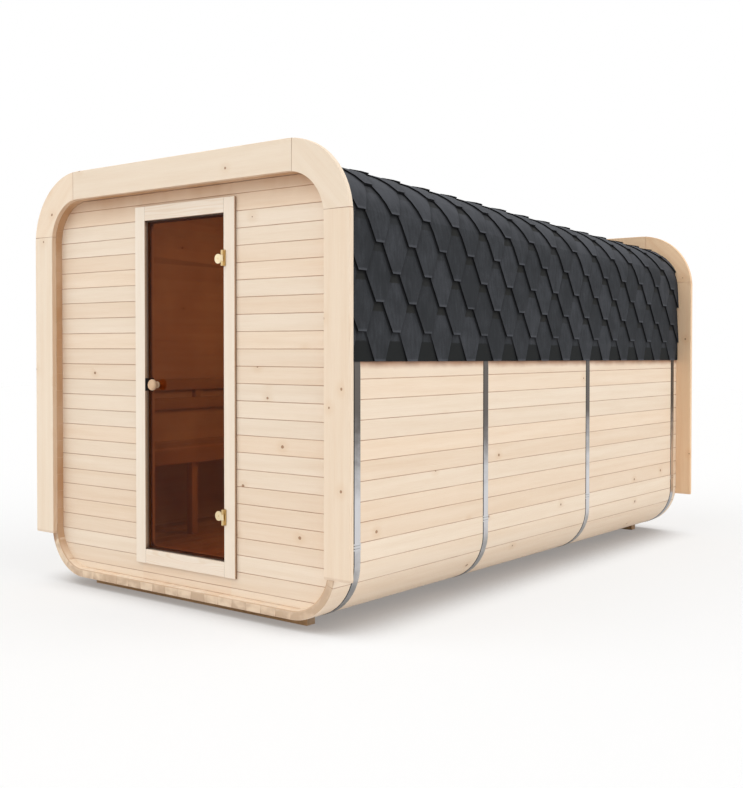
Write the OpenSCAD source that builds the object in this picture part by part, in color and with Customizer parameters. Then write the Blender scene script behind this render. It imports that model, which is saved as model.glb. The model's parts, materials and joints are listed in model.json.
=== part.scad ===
// Garden sauna: a rounded-square shell of long staves held by steel bands, closed by board walls set
// back at both ends, with a tinted glass door, curved fascia frames and a shingle-covered roof that
// falls gently towards the back.
// Origin: middle of the footprint, on the ground. +X right, +Y towards the back, +Z up. Millimetres.

/* [Overall] */
// length over both fascia frames
length = 4000; // [3000:50:5000]
// width over the fascia side boards
width = 2380; // [2100:10:2700]
// height of the front fascia above the ground
front_height = 2357; // [2200:1:2600]
// how far the roof falls from front to back
roof_fall = 160; // [0:5:250]

/* [Shell] */
// thickness of the staves
shell_t = 50; // [38:1:60]
// how far the fascia stands out beyond the shell
fascia_stand_out = 108; // [60:1:130]
// outer radius of the shell's four corners
shell_corner_r = 282; // [200:2:320]

/* [Support beams] */
// height of a beam under the floor
beam_h = 48; // [30:1:120]
// width of a beam along the sauna
beam_w = 60; // [40:5:150]
// number of beams
beam_count = 2; // [2:1:7]
// distance from each end of the shell to the nearest beam
beam_inset = 107; // [20:1:150]
// how far a beam runs past the flat of the shell's underside at each end
beam_over = 10; // [0:5:100]

/* [Fascia frames] */
// thickness of the fascia boards
fascia_t = 28; // [20:1:45]
// from the frame's outer edge to the joint of a corner block
corner_reach = 357; // [330:1:380]
// height of the side boards' lower ends above the ground
side_board_foot = 280; // [240:5:400]

/* [End walls] */
// thickness of the end walls
wall_t = 42; // [28:1:60]
// how far the end walls are set back in the shell
wall_recess = 42; // [30:1:150]

/* [Doorway] */
// clear width between the jambs
door_w = 606; // [560:2:800]
// clear height between sill and head
door_h = 1781; // [1600:1:1850]
// height of the clear opening's lower edge above the ground
door_foot = 265; // [250:5:300]
// distance of the doorway's middle from the middle of the front
door_shift = 17; // [-150:1:150]
// width of the trim boards round the doorway
trim_w = 77; // [60:1:95]
// thickness of the trim boards
trim_t = 15; // [10:1:20]
// thickness of the jamb liners
liner_t = 36; // [25:1:45]
// width of the strip behind the glass on each liner
stop_w = 16; // [14:1:24]

/* [Glass door] */
// thickness of the glass
glass_t = 8; // [6:1:10]
// gap between the glass and the frame all round
glass_gap = 7; // [5:1:9]
// how far the glass lies behind the trim boards' face
glass_set_back = 20; // [12:1:24]
// gap between the glass and the strip behind it
stop_gap = 5; // [5:1:8]
// diameter of the hinge clips
clip_d = 50; // [40:1:60]
// height of the hinge plates
hinge_plate_h = 80; // [60:2:100]
// distance of the hinges from the glass's top and bottom edges
hinge_inset = 224; // [150:2:300]
// diameter of the knobs
knob_d = 61; // [45:1:75]
// how far a knob stands off the glass
knob_len = 48; // [25:1:55]
// height of the knobs above the ground
knob_z = 1160; // [950:5:1250]

/* [Bands] */
// width of the steel bands
band_w = 50; // [30:1:60]
// thickness of the steel bands
band_t = 2; // [1:0.5:3]
// distance from the shell's front end to the first band's middle
first_band_inset = 158; // [60:1:200]
// distance from the shell's back end to the last band's middle
last_band_inset = 78; // [60:1:95]

/* [Shingles] */
// thickness of the shingle covering
shingle_t = 10; // [6:1:14]
// height of the covering's lower edge on the side walls
shingle_edge_z = 1277; // [1100:1:1500]

/* [Interior] */
// height of the slatted floor's top
floor_top = 238; // [200:2:260]
// thickness of the floor boards
floor_board_t = 28; // [20:1:35]
// depth of the bench from the wall
bench_depth = 500; // [400:10:600]
// height of the bench top
bench_top_z = 760; // [600:10:900]
// length of the bench
bench_len = 2000; // [1600:50:2600]

/* [Hidden] */
// gap left where two curved faces meet
seat_gap = 0.3;
// how far a cutting body runs past what it cuts
through = 50;
front_y = -length / 2;
back_y = length / 2;
shell_front = front_y + fascia_t;
shell_back = back_y - fascia_t;
shell_len = shell_back - shell_front;
shell_half = width / 2 - fascia_stand_out;
shell_half_in = shell_half - shell_t;
shell_bottom = beam_h;
shell_corner_in = shell_corner_r - shell_t;
fascia_corner_r = shell_corner_r + fascia_stand_out;
fascia_w = fascia_stand_out + shell_t;
roof_slope = roof_fall / length;
roof_tilt = atan(roof_slope);
roof_top = front_height - fascia_stand_out;
wall_front = shell_front + wall_recess;
wall_inside = wall_front + wall_t;
back_wall_inside = -wall_inside;
back_wall_outside = -wall_front;
door_left = door_shift - door_w / 2;
door_right = door_shift + door_w / 2;
door_top = door_foot + door_h;
trim_face = wall_front - trim_t;
glass_front = trim_face + glass_set_back;
glass_back = glass_front + glass_t;
stop_front = glass_back + stop_gap;
glass_left = door_left + glass_gap;
glass_right = door_right - glass_gap;
glass_foot = door_foot + glass_gap;
glass_top = door_top - glass_gap;
inner_floor = shell_bottom + shell_t;
smooth = 96;

// hinges: plate on the jamb, pin, knuckle round the pin, arm and clip on the glass
plate_t = 4;
plate_w = 16;
pin_r = 3.5;
pin_clearance = 0.3;
knuckle_r = 7;
knuckle_gap = 1.5;
ear_gap = 1;
axis_inset = 2;
hinge_axis_x = door_right + axis_inset;
hinge_axis_y = trim_face - plate_t - knuckle_r - knuckle_gap;
clip_t = 7;
clip_inset = 47;
clip_x = glass_right - clip_inset;
arm_h = 30;
arm_t = 6;
arm_gap = 1;
arm_bend_inset = 12;
hinge_top_z = glass_top - hinge_inset;
hinge_bottom_z = glass_foot + hinge_inset;

// knobs and the catch that holds the free edge
knob_inset = 70;
knob_x = glass_left + knob_inset;
spindle_r = 4;
spindle_clearance = 1;
catch_w = 26;
catch_d = 14;
catch_h = 68;
catch_plate_t = 2;

joint_x = width / 2 - corner_reach;
back_top = roof_z(front_height, shell_back);
beam_pitch = (shell_len - 2 * beam_inset - beam_w) / (beam_count - 1);
beam_len = 2 * (shell_half - shell_corner_r + beam_over);
// the bands' middles: one near the front end, two along the shell and one near the back end
second_band_share = 0.33;
third_band_share = 0.64;
band_middles = [
    shell_front + first_band_inset,
    shell_front + second_band_share * shell_len,
    shell_front + third_band_share * shell_len,
    shell_back - last_band_inset
];
room_len = back_wall_inside - wall_inside;
bearer_w = 45;
bearer_count = 6;
bearer_end_gap = 60;
bearer_pitch = (room_len - 2 * bearer_end_gap - bearer_w) / (bearer_count - 1);
floor_end_gap = 5;
floor_side_gap = 14;
floor_board_cover = 124;
floor_slot = 9;
floor_under = floor_top - floor_board_t;
floor_drop = inner_floor + shell_corner_in - floor_under;
floor_half = shell_half_in - shell_corner_in + sqrt(pow(shell_corner_in, 2) - pow(floor_drop, 2))
    - floor_side_gap;
floor_board_count = round((2 * floor_half + floor_slot) / floor_board_cover);
floor_board_pitch = (2 * floor_half + floor_slot) / floor_board_count;
slat_t = 28;
slat_count = 5;
slat_slot = 10;
bench_end_gap = 5;
bench_start = wall_inside + bench_end_gap;
bench_back = -shell_half_in;
bench_front = bench_back + bench_depth;
rail_t = 28;
rail_h = 84;
slat_pitch = (bench_depth - rail_t) / slat_count;
ledger_t = 28;
batten_w = 45;
batten_h = 45;
batten_places = [0.03, 0.28, 0.5, 0.72, 0.97];
post_places = [batten_places[1], batten_places[3]];
post_w = 45;
post_d = 45;
spacer_t = 20;
backrest_z = 967;
backrest_h = 70;
backrest_pitch = 122;
backrest_count = 2;

// Height of a roof line at y, when the line is z_front high at the front end.
function roof_z(z_front, y) = z_front - roof_slope * (y - front_y);

// A rectangle with rounded top corners: half width, bottom, top and corner radius.
module arched_outline(half, bottom, top, r) {
    union() {
        translate([-half, bottom]) square([2 * half, top - r - bottom]);
        translate([-half + r, bottom]) square([2 * (half - r), top - bottom]);
        for (side = [-1, 1]) translate([side * (half - r), top - r]) circle(r, $fn = smooth);
    }
}

// A rectangle with four rounded corners.
module rounded_outline(half, bottom, top, r) {
    union() {
        translate([-half, bottom + r]) square([2 * half, top - bottom - 2 * r]);
        translate([-half + r, bottom]) square([2 * (half - r), top - bottom]);
        for (side = [-1, 1]) {
            translate([side * (half - r), top - r]) circle(r, $fn = smooth);
            translate([side * (half - r), bottom + r]) circle(r, $fn = smooth);
        }
    }
}

// Stands an outline drawn in x and z up, and carries it from y0 to y1.
module carry(y0, y1) {
    translate([0, y1, 0]) rotate([90, 0, 0]) linear_extrude(y1 - y0) children();
}

// Carries an outline, whose heights are those at the front end, along the falling roof and cuts it
// square at y0 and y1.
module carry_down(y0, y1) {
    intersection() {
        translate([0, front_y, front_height])
            rotate([-roof_tilt, 0, 0])
                translate([0, 0, -front_height])
                    carry(-through, length + 2 * through) children();
        translate([-width, y0, 0]) cube([2 * width, y1 - y0, 2 * front_height]);
    }
}

// A quarter ring, centred on [x, z], between two radii, towards side (-1 left, 1 right) and up or down.
module quarter_ring(x, z, r_out, r_in, side, up) {
    translate([x, z]) difference() {
        intersection() {
            circle(r_out, $fn = smooth);
            translate([side > 0 ? 0 : -r_out, up > 0 ? 0 : -r_out]) square(r_out);
        }
        circle(r_in, $fn = smooth);
    }
}

// ---- Shell ----

module shell_floor() {
    color([0.87, 0.74, 0.58])
        translate([-(shell_half - shell_corner_r), shell_front, shell_bottom])
            cube([2 * (shell_half - shell_corner_r), shell_len, shell_t]);
}

// A side wall's upper edge follows the falling roof, so its last stave is cut to a taper.
module shell_wall(side) {
    foot = shell_bottom + shell_corner_r;
    color([0.87, 0.74, 0.58])
        difference() {
            translate([side > 0 ? shell_half_in : -shell_half, shell_front, foot])
                cube([shell_t, shell_len, front_height - foot]);
            carry_down(shell_front - through, shell_back + through)
                translate([-width, roof_top - shell_corner_r]) square([2 * width, front_height]);
        }
}

module shell_wall_left() { shell_wall(-1); }

module shell_wall_right() { shell_wall(1); }

module shell_corner_bottom(side) {
    color([0.87, 0.74, 0.58])
        carry(shell_front, shell_back)
            quarter_ring(side * (shell_half - shell_corner_r), shell_bottom + shell_corner_r,
                shell_corner_r, shell_corner_in, side, -1);
}

module shell_corner_bottom_left() { shell_corner_bottom(-1); }

module shell_corner_bottom_right() { shell_corner_bottom(1); }

module shell_corner_top(side) {
    color([0.87, 0.74, 0.58])
        carry_down(shell_front, shell_back)
            quarter_ring(side * (shell_half - shell_corner_r), roof_top - shell_corner_r,
                shell_corner_r, shell_corner_in, side, 1);
}

module shell_corner_top_left() { shell_corner_top(-1); }

module shell_corner_top_right() { shell_corner_top(1); }

module shell_roof() {
    color([0.87, 0.74, 0.58])
        carry_down(shell_front, shell_back)
            translate([-(shell_half - shell_corner_r), roof_top - shell_t])
                square([2 * (shell_half - shell_corner_r), shell_t]);
}

// ---- End walls ----

// The outline of an end wall that fits inside the shell, with its top under the roof at y.
module wall_outline(y) {
    under_roof = roof_z(front_height - fascia_w / cos(roof_tilt), y) - seat_gap;
    rounded_outline(shell_half_in - seat_gap, inner_floor, under_roof,
        shell_corner_in - seat_gap);
}

// The part of the front wall between x0 and x1 and between z0 and z1.
module front_wall_part(x0, x1, z0, z1) {
    color([0.88, 0.76, 0.6])
        carry(wall_front, wall_inside)
            intersection() {
                wall_outline(wall_inside);
                translate([x0, z0]) square([x1 - x0, z1 - z0]);
            }
}

module front_wall_left() {
    front_wall_part(-width, door_left - liner_t, 0, 2 * front_height);
}

module front_wall_right() {
    front_wall_part(door_right + liner_t, width, 0, 2 * front_height);
}

module front_wall_top() {
    front_wall_part(door_left - liner_t, door_right + liner_t, door_top + liner_t, 2 * front_height);
}

module front_wall_bottom() {
    front_wall_part(door_left - liner_t, door_right + liner_t, 0, door_foot - liner_t);
}

module back_wall() {
    color([0.88, 0.76, 0.6])
        carry(back_wall_inside, back_wall_outside) wall_outline(back_wall_outside);
}

// ---- Doorway ----

// One side of the door frame, standing on z = 0 with the clear opening towards +x: a trim board on the
// wall's face, a liner through the wall and a strip that stands behind the glass. The board and the
// liner run past both ends of the opening; the strip stops short of them.
module frame_member(len, trim_over, liner_over, strip_short) {
    union() {
        translate([-trim_w, trim_face, -trim_over]) cube([trim_w, trim_t, len + 2 * trim_over]);
        translate([-liner_t, wall_front, -liner_over]) cube([liner_t, wall_t, len + 2 * liner_over]);
        translate([-liner_t, stop_front, strip_short])
            cube([liner_t + stop_w, wall_inside - stop_front, len - 2 * strip_short]);
    }
}

// The left jamb has a pocket for the catch.
module door_jamb_left() {
    color([0.93, 0.86, 0.75])
        difference() {
            translate([door_left, 0, door_foot]) frame_member(door_h, trim_w, liner_t, 0);
            catch_block();
        }
}

module door_jamb_right() {
    color([0.93, 0.86, 0.75])
        translate([door_right, 0, door_foot]) mirror([1, 0, 0]) frame_member(door_h, trim_w, liner_t, 0);
}

module door_head() {
    color([0.93, 0.86, 0.75])
        translate([door_left, 0, door_top]) rotate([0, 90, 0]) frame_member(door_w, 0, 0, stop_w);
}

module door_sill() {
    color([0.93, 0.86, 0.75])
        translate([door_left, 0, door_foot])
            rotate([0, 90, 0]) mirror([1, 0, 0]) frame_member(door_w, 0, 0, stop_w);
}

module catch_block() {
    translate([door_left - catch_plate_t, 0, knob_z - catch_h / 2]) union() {
        translate([0, stop_front, 0]) cube([catch_w, catch_d, catch_h]);
        translate([0, trim_face + catch_plate_t, 0])
            cube([catch_plate_t, stop_front - trim_face, catch_h]);
    }
}

// A magnetic catch: a plate let in flush with the left jamb and a block behind the glass's free edge.
module door_catch() {
    color([0.08, 0.08, 0.08]) catch_block();
}

// ---- Glass door ----

module door_glass() {
    color([0.35, 0.18, 0.08, 0.6])
        difference() {
            translate([glass_left, glass_front, glass_foot])
                cube([glass_right - glass_left, glass_t, glass_top - glass_foot]);
            translate([knob_x, glass_front - through, knob_z])
                rotate([-90, 0, 0])
                    cylinder(2 * through, spindle_r + spindle_clearance, spindle_r + spindle_clearance,
                        $fn = 32);
        }
}

// A fixed plate on the right jamb's face, with an ear at each end that holds the pin.
module hinge_plate(z) {
    ear_web = 2 * knuckle_r - 2;
    ear_h = (hinge_plate_h - arm_h) / 2 - ear_gap;
    color([0.83, 0.7, 0.42])
        translate([0, 0, z - hinge_plate_h / 2]) union() {
            translate([door_right, trim_face - plate_t, 0])
                cube([plate_w, plate_t, hinge_plate_h]);
            for (foot = [0, hinge_plate_h - ear_h]) {
                translate([hinge_axis_x, hinge_axis_y, foot])
                    cylinder(ear_h, knuckle_r, knuckle_r, $fn = 48);
                translate([hinge_axis_x - ear_web / 2, hinge_axis_y, foot])
                    cube([ear_web, trim_face - plate_t / 2 - hinge_axis_y, ear_h]);
            }
            translate([hinge_axis_x, hinge_axis_y, 0]) cylinder(hinge_plate_h, pin_r, pin_r, $fn = 48);
        }
}

module hinge_plate_top() { hinge_plate(hinge_top_z); }

module hinge_plate_bottom() { hinge_plate(hinge_bottom_z); }

// A round clip on the glass's outer face, with an arm to the knuckle round the pin.
module hinge_clip(z) {
    bend = door_right - arm_bend_inset;
    arm_back = glass_front - clip_t;
    arm_front = glass_front - arm_gap;
    color([0.83, 0.7, 0.42])
        translate([0, 0, z]) difference() {
            union() {
                translate([clip_x, arm_back, 0])
                    rotate([-90, 0, 0]) cylinder(clip_t, clip_d / 2, clip_d / 2, $fn = 64);
                translate([0, 0, -arm_h / 2]) linear_extrude(arm_h) polygon([
                    [clip_x, arm_back],
                    [clip_x, arm_front],
                    [bend + arm_t, arm_front],
                    [bend + arm_t, hinge_axis_y + arm_t / 2],
                    [hinge_axis_x, hinge_axis_y + arm_t / 2],
                    [hinge_axis_x, hinge_axis_y - arm_t / 2],
                    [bend, hinge_axis_y - arm_t / 2],
                    [bend, arm_back]
                ]);
                translate([hinge_axis_x, hinge_axis_y, -arm_h / 2])
                    cylinder(arm_h, knuckle_r, knuckle_r, $fn = 48);
            }
            translate([hinge_axis_x, hinge_axis_y, -arm_h])
                cylinder(2 * arm_h, pin_r + pin_clearance, pin_r + pin_clearance, $fn = 48);
        }
}

module hinge_clip_top() { hinge_clip(hinge_top_z); }

module hinge_clip_bottom() { hinge_clip(hinge_bottom_z); }

// Half the section of a turned knob: a foot on the glass, a waist and a rounded head.
module knob_section() {
    polygon([
        [0, 0],
        [knob_d * 0.3, 0],
        [knob_d * 0.26, knob_len * 0.15],
        [knob_d * 0.3, knob_len * 0.36],
        [knob_d * 0.43, knob_len * 0.5],
        [knob_d * 0.5, knob_len * 0.66],
        [knob_d * 0.5, knob_len * 0.8],
        [knob_d * 0.46, knob_len * 0.93],
        [knob_d * 0.38, knob_len],
        [0, knob_len]
    ]);
}

module door_knob_outside() {
    color([0.85, 0.68, 0.48])
        translate([knob_x, glass_front, knob_z]) rotate([90, 0, 0]) union() {
            rotate_extrude($fn = smooth) knob_section();
            translate([0, 0, -glass_t]) cylinder(glass_t + knob_len / 2, spindle_r, spindle_r, $fn = 32);
        }
}

module door_knob_inside() {
    color([0.85, 0.68, 0.48])
        translate([knob_x, glass_back, knob_z]) rotate([-90, 0, 0])
            rotate_extrude($fn = smooth) knob_section();
}

// ---- Fascia frames ----

// The outline of a whole fascia frame whose top is at this height.
module fascia_outline(top) {
    difference() {
        arched_outline(width / 2, side_board_foot, top, fascia_corner_r);
        arched_outline(shell_half_in, side_board_foot - through, top - fascia_w, shell_corner_in);
    }
}

// One piece of a frame, cut out between x0 and x1 and between z0 and z1.
module fascia_piece(y0, top, x0, x1, z0, z1) {
    color([0.9, 0.79, 0.64])
        carry(y0, y0 + fascia_t)
            intersection() {
                fascia_outline(top);
                translate([x0, z0]) square([x1 - x0, z1 - z0]);
            }
}

module fascia_top(y0, top) {
    fascia_piece(y0, top, -joint_x, joint_x, top - corner_reach, top + through);
}

module fascia_corner(y0, top, side) {
    fascia_piece(y0, top, side > 0 ? joint_x : -width, side > 0 ? width : -joint_x,
        top - corner_reach, top + through);
}

module fascia_side(y0, top, side) {
    fascia_piece(y0, top, side > 0 ? joint_x : -width, side > 0 ? width : -joint_x,
        0, top - corner_reach);
}

module fascia_front_top() { fascia_top(front_y, front_height); }

module fascia_front_corner_left() { fascia_corner(front_y, front_height, -1); }

module fascia_front_corner_right() { fascia_corner(front_y, front_height, 1); }

module fascia_front_side_left() { fascia_side(front_y, front_height, -1); }

module fascia_front_side_right() { fascia_side(front_y, front_height, 1); }

module fascia_back_top() { fascia_top(shell_back, back_top); }

module fascia_back_corner_left() { fascia_corner(shell_back, back_top, -1); }

module fascia_back_corner_right() { fascia_corner(shell_back, back_top, 1); }

module fascia_back_side_left() { fascia_side(shell_back, back_top, -1); }

module fascia_back_side_right() { fascia_side(shell_back, back_top, 1); }

// ---- Bands and shingles ----

// The shell's falling top, grown by this much, between y0 and y1 and down to z_foot.
module roof_arch(y0, y1, grow, z_foot) {
    intersection() {
        carry_down(y0, y1)
            arched_outline(shell_half + grow, -through, roof_top + grow, shell_corner_r + grow);
        translate([-width, y0 - through, z_foot])
            cube([2 * width, y1 - y0 + 2 * through, 2 * front_height]);
    }
}

// The shell's whole outside, grown by this much, between y0 and y1: where the falling arch and a level
// trough with two rounded lower corners overlap.
module shell_envelope(y0, y1, grow) {
    intersection() {
        roof_arch(y0, y1, grow, -through);
        carry(y0 - through, y1 + through)
            mirror([0, 1])
                arched_outline(shell_half + grow, -2 * front_height, grow - shell_bottom,
                    shell_corner_r + grow);
    }
}

// A flat hoop round the whole shell, under the shingles and over the floor's underside.
module steel_band(y) {
    difference() {
        shell_envelope(y - band_w / 2, y + band_w / 2, band_t);
        shell_envelope(y - band_w, y + band_w, 0);
    }
}

module steel_bands() {
    color([0.6, 0.61, 0.62])
        for (y = band_middles) steel_band(y);
}

// The shingles lie on the shell and over the bands, down to a level edge on both side walls.
module shingle_covering() {
    color([0.15, 0.16, 0.17])
        difference() {
            roof_arch(shell_front, shell_back, shingle_t, shingle_edge_z);
            roof_arch(shell_front - through, shell_back + through, 0, shingle_edge_z - through);
            for (y = band_middles)
                roof_arch(y - band_w / 2, y + band_w / 2, band_t, shingle_edge_z - through);
        }
}

// ---- Under the floor ----

// Level beams across the sauna, notched wherever a band would pass over one.
module support_beams() {
    color([0.6, 0.47, 0.34])
        difference() {
            for (i = [0 : beam_count - 1])
                translate([-beam_len / 2, shell_front + beam_inset + i * beam_pitch, 0])
                    cube([beam_len, beam_w, beam_h]);
            for (y = band_middles) shell_envelope(y - band_w / 2, y + band_w / 2, band_t);
        }
}

// ---- Inside ----

// The space between the side walls at the floor, below z_top.
module floor_section(z_bottom, z_top) {
    intersection() {
        rounded_outline(shell_half_in - seat_gap, inner_floor, front_height / 2,
            shell_corner_in - seat_gap);
        translate([-width, z_bottom]) square([2 * width, z_top - z_bottom]);
    }
}

// Cross pieces cut to the curve of the shell's bottom corners.
module floor_bearers() {
    color([0.8, 0.66, 0.5])
        for (i = [0 : bearer_count - 1])
            translate([0, wall_inside + bearer_end_gap + i * bearer_pitch, 0])
                carry(0, bearer_w) floor_section(inner_floor, floor_under);
}

module floor_boards() {
    color([0.82, 0.69, 0.52])
        for (i = [0 : floor_board_count - 1])
            translate([
                -floor_half + i * floor_board_pitch,
                wall_inside + floor_end_gap,
                floor_under
            ])
                cube([floor_board_pitch - floor_slot, room_len - 2 * floor_end_gap, floor_board_t]);
}

// Long slats with gaps, on the cross battens.
module bench_top() {
    color([0.84, 0.7, 0.52])
        for (i = [0 : slat_count - 1])
            translate([bench_back + i * slat_pitch, bench_start, bench_top_z - slat_t])
                cube([slat_pitch - slat_slot, bench_len, slat_t]);
}

// The ledger on the side wall, the cross battens and the board along the bench's front edge.
module bench_rails() {
    batten_top = bench_top_z - slat_t;
    color([0.82, 0.68, 0.5])
        union() {
            translate([bench_back, bench_start, batten_top - batten_h])
                cube([ledger_t, bench_len, batten_h]);
            translate([bench_front - rail_t, bench_start, bench_top_z - rail_h])
                cube([rail_t, bench_len, rail_h]);
            for (y = batten_places)
                translate([bench_back, bench_start + y * bench_len - batten_w / 2, batten_top - batten_h])
                    cube([bench_depth - rail_t, batten_w, batten_h]);
        }
}

module bench_posts() {
    post_top = bench_top_z - slat_t - batten_h;
    color([0.82, 0.68, 0.5])
        for (y = post_places)
            translate([bench_front - rail_t - post_w, bench_start + y * bench_len - post_d / 2, floor_top])
                cube([post_w, post_d, post_top - floor_top]);
}

// Boards along the side wall above the bench, on short uprights.
module backrest() {
    color([0.84, 0.7, 0.52])
        union() {
            for (i = [0 : backrest_count - 1])
                translate([-shell_half_in + spacer_t, bench_start, backrest_z + i * backrest_pitch])
                    cube([slat_t, bench_len, backrest_h]);
            for (y = batten_places)
                translate([-shell_half_in, bench_start + y * bench_len - batten_w / 2, backrest_z])
                    cube([
                        spacer_t + slat_t / 2,
                        batten_w,
                        (backrest_count - 1) * backrest_pitch + backrest_h
                    ]);
        }
}

// ---- Output ----

shell_floor();
shell_wall_left();
shell_wall_right();
shell_corner_bottom_left();
shell_corner_bottom_right();
shell_corner_top_left();
shell_corner_top_right();
shell_roof();
front_wall_left();
front_wall_right();
front_wall_top();
front_wall_bottom();
back_wall();
door_jamb_left();
door_jamb_right();
door_head();
door_sill();
door_catch();
door_glass();
hinge_plate_top();
hinge_plate_bottom();
hinge_clip_top();
hinge_clip_bottom();
door_knob_outside();
door_knob_inside();
fascia_front_top();
fascia_front_corner_left();
fascia_front_corner_right();
fascia_front_side_left();
fascia_front_side_right();
fascia_back_top();
fascia_back_corner_left();
fascia_back_corner_right();
fascia_back_side_left();
fascia_back_side_right();
steel_bands();
shingle_covering();
support_beams();
floor_boards();
floor_bearers();
bench_top();
bench_rails();
bench_posts();
backrest();
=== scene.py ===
"""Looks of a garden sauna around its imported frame: wood, shingles, bands, door and studio.

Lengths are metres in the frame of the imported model: +X right, +Y towards the back, +Z up.
"""

import json
import logging
import math
from collections.abc import Mapping
from dataclasses import dataclass, field, replace
from enum import Enum

import bmesh
import bpy
import numpy as np
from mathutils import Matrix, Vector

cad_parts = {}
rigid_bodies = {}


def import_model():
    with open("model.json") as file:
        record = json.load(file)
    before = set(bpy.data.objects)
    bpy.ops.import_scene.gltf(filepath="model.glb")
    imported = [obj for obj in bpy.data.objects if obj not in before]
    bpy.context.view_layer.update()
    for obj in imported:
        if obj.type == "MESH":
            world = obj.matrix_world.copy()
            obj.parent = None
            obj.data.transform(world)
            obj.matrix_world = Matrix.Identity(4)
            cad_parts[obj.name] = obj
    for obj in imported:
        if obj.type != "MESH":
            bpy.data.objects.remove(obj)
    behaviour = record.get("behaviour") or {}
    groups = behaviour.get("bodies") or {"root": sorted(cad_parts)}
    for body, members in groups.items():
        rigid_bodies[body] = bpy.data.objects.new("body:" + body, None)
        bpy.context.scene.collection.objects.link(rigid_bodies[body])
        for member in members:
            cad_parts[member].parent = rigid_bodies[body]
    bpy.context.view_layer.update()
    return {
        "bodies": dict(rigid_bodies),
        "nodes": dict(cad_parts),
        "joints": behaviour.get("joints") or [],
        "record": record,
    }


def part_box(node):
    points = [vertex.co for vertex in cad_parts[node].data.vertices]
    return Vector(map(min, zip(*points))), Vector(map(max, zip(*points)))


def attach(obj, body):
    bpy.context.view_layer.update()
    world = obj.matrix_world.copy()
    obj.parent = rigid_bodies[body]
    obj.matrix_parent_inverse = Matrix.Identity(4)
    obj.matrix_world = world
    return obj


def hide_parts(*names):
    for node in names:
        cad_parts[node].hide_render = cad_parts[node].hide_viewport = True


LOG = logging.getLogger("sauna")
SEED = 7
Triple = tuple[float, float, float]
Colour = tuple[float, float, float, float]
Feed = float | tuple[float, ...] | bpy.types.NodeSocket
Ease = float | np.ndarray
WHITE: Colour = (1.0, 1.0, 1.0, 1.0)

# An edge cut of this size is a full seam.
FULL_SEAM = 0.0024
# More than any wall has boards.
MOST_BOARDS = 40
# Lower edge of the covering halfway along the sauna, and how much it falls with y.
COVER_EDGE = 1.2815
COVER_SLOPE = 0.0069
# The painted shadow below the covering shows on faces further out than this, and the painted
# recess shade further from the middle than that.
SHADOW_FROM = 1.07
SHADE_FROM = 1.922
SHADE_SOFT = 0.008
# A bevelled copy: points closer than this are one, flatter edges go, sharper ones are rounded.
COPY_MERGE = 1e-5
COPY_FLAT = 1.0
COPY_SHARP = 35.0
COPY_SMOOTH = 25.0
# Its faces that look along the grain by more than this are end cuts, and those that look along the
# sauna by less than that are its sides.
COPY_END = 0.7
COPY_ASIDE = 0.5
# A length too small to divide by.
TINY = 1e-6


def paint(red: int, green: int, blue: int) -> Colour:
    """Turns display values from 0 to 255 into scene-linear light, by the usual 2.4 power curve."""
    shares = [value / 255 for value in (red, green, blue)]
    light = [s / 12.92 if s <= 0.04045 else ((s + 0.055) / 1.055) ** 2.4 for s in shares]
    return (light[0], light[1], light[2], 1.0)


class Side(Enum):
    """The two long sides of the sauna, as the sign of X."""

    LEFT = -1
    RIGHT = 1

    @property
    def word(self) -> str:
        """The side's name in node and piece names."""
        return self.name.lower()


class GrainAxis(Enum):
    """The direction that the grain of a plain member follows: along, across and through it."""

    X = (0, 1, 2)
    Y = (1, 0, 2)
    Z = (2, 0, 1)


class Domain(Enum):
    """What the values of a mesh attribute belong to."""

    POINT = "POINT"
    FACE = "FACE"


# ---- Meshes ----


def in_scene(name: str, data: bpy.types.ID) -> bpy.types.Object:
    """Puts a mesh, lamp or camera into the scene as an object of that name."""
    thing = bpy.data.objects.new(name, data)
    bpy.context.scene.collection.objects.link(thing)
    return thing


def smooth_below(mesh: bpy.types.Mesh, angle: float) -> None:
    """Lets faces shade as one where they meet at less than that many degrees."""
    mesh.shade_smooth()
    mesh.set_sharp_from_angle(angle=math.radians(angle))


def read_vectors(items: bpy.types.bpy_prop_collection, label: str) -> np.ndarray:
    """Reads one vector of every point or face, (items, 3)."""
    values = np.zeros(len(items) * 3, np.float32)
    items.foreach_get(label, values)
    return values.reshape(-1, 3)


def write_vectors(
    mesh: bpy.types.Mesh, label: str, values: np.ndarray, domain: Domain = Domain.POINT
) -> None:
    """Gives a mesh a vector for every point or face."""
    layer = mesh.attributes.new(label, "FLOAT_VECTOR", domain.value)
    layer.data.foreach_set("vector", values.astype(np.float32).ravel())


def at_stations(values: np.ndarray, shape: tuple[int, ...]) -> np.ndarray:
    """Repeats the (boards, points) values of sections at every station of that shape."""
    return np.broadcast_to(values[:, None, :], shape)


def end_cuts(shape: tuple[int, ...]) -> np.ndarray:
    """One on the first and the last station of each board, nothing between."""
    marks = np.zeros(shape)
    marks[:, [0, -1]] = 1.0
    return marks


def wear_of(edge: np.ndarray, end: np.ndarray, painted_shade: np.ndarray | float = 0.0) -> np.ndarray:
    """Combines seams, end cuts and painted shade into the wear of each point."""
    return np.stack([edge, end, np.broadcast_to(painted_shade, end.shape)], axis=-1)


def random_board(draw: np.random.Generator, count: int) -> tuple[np.ndarray, np.ndarray]:
    """Draws what makes boards differ.

    Args:
        draw: The source of random numbers.
        count: Number of boards.

    Returns:
        Shifts that place each board elsewhere in the wood, and its three tones, both (count, 3).
    """
    return draw.uniform(0.0, 60.0, (count, 3)), draw.uniform(0.0, 1.0, (count, 3))


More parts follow.
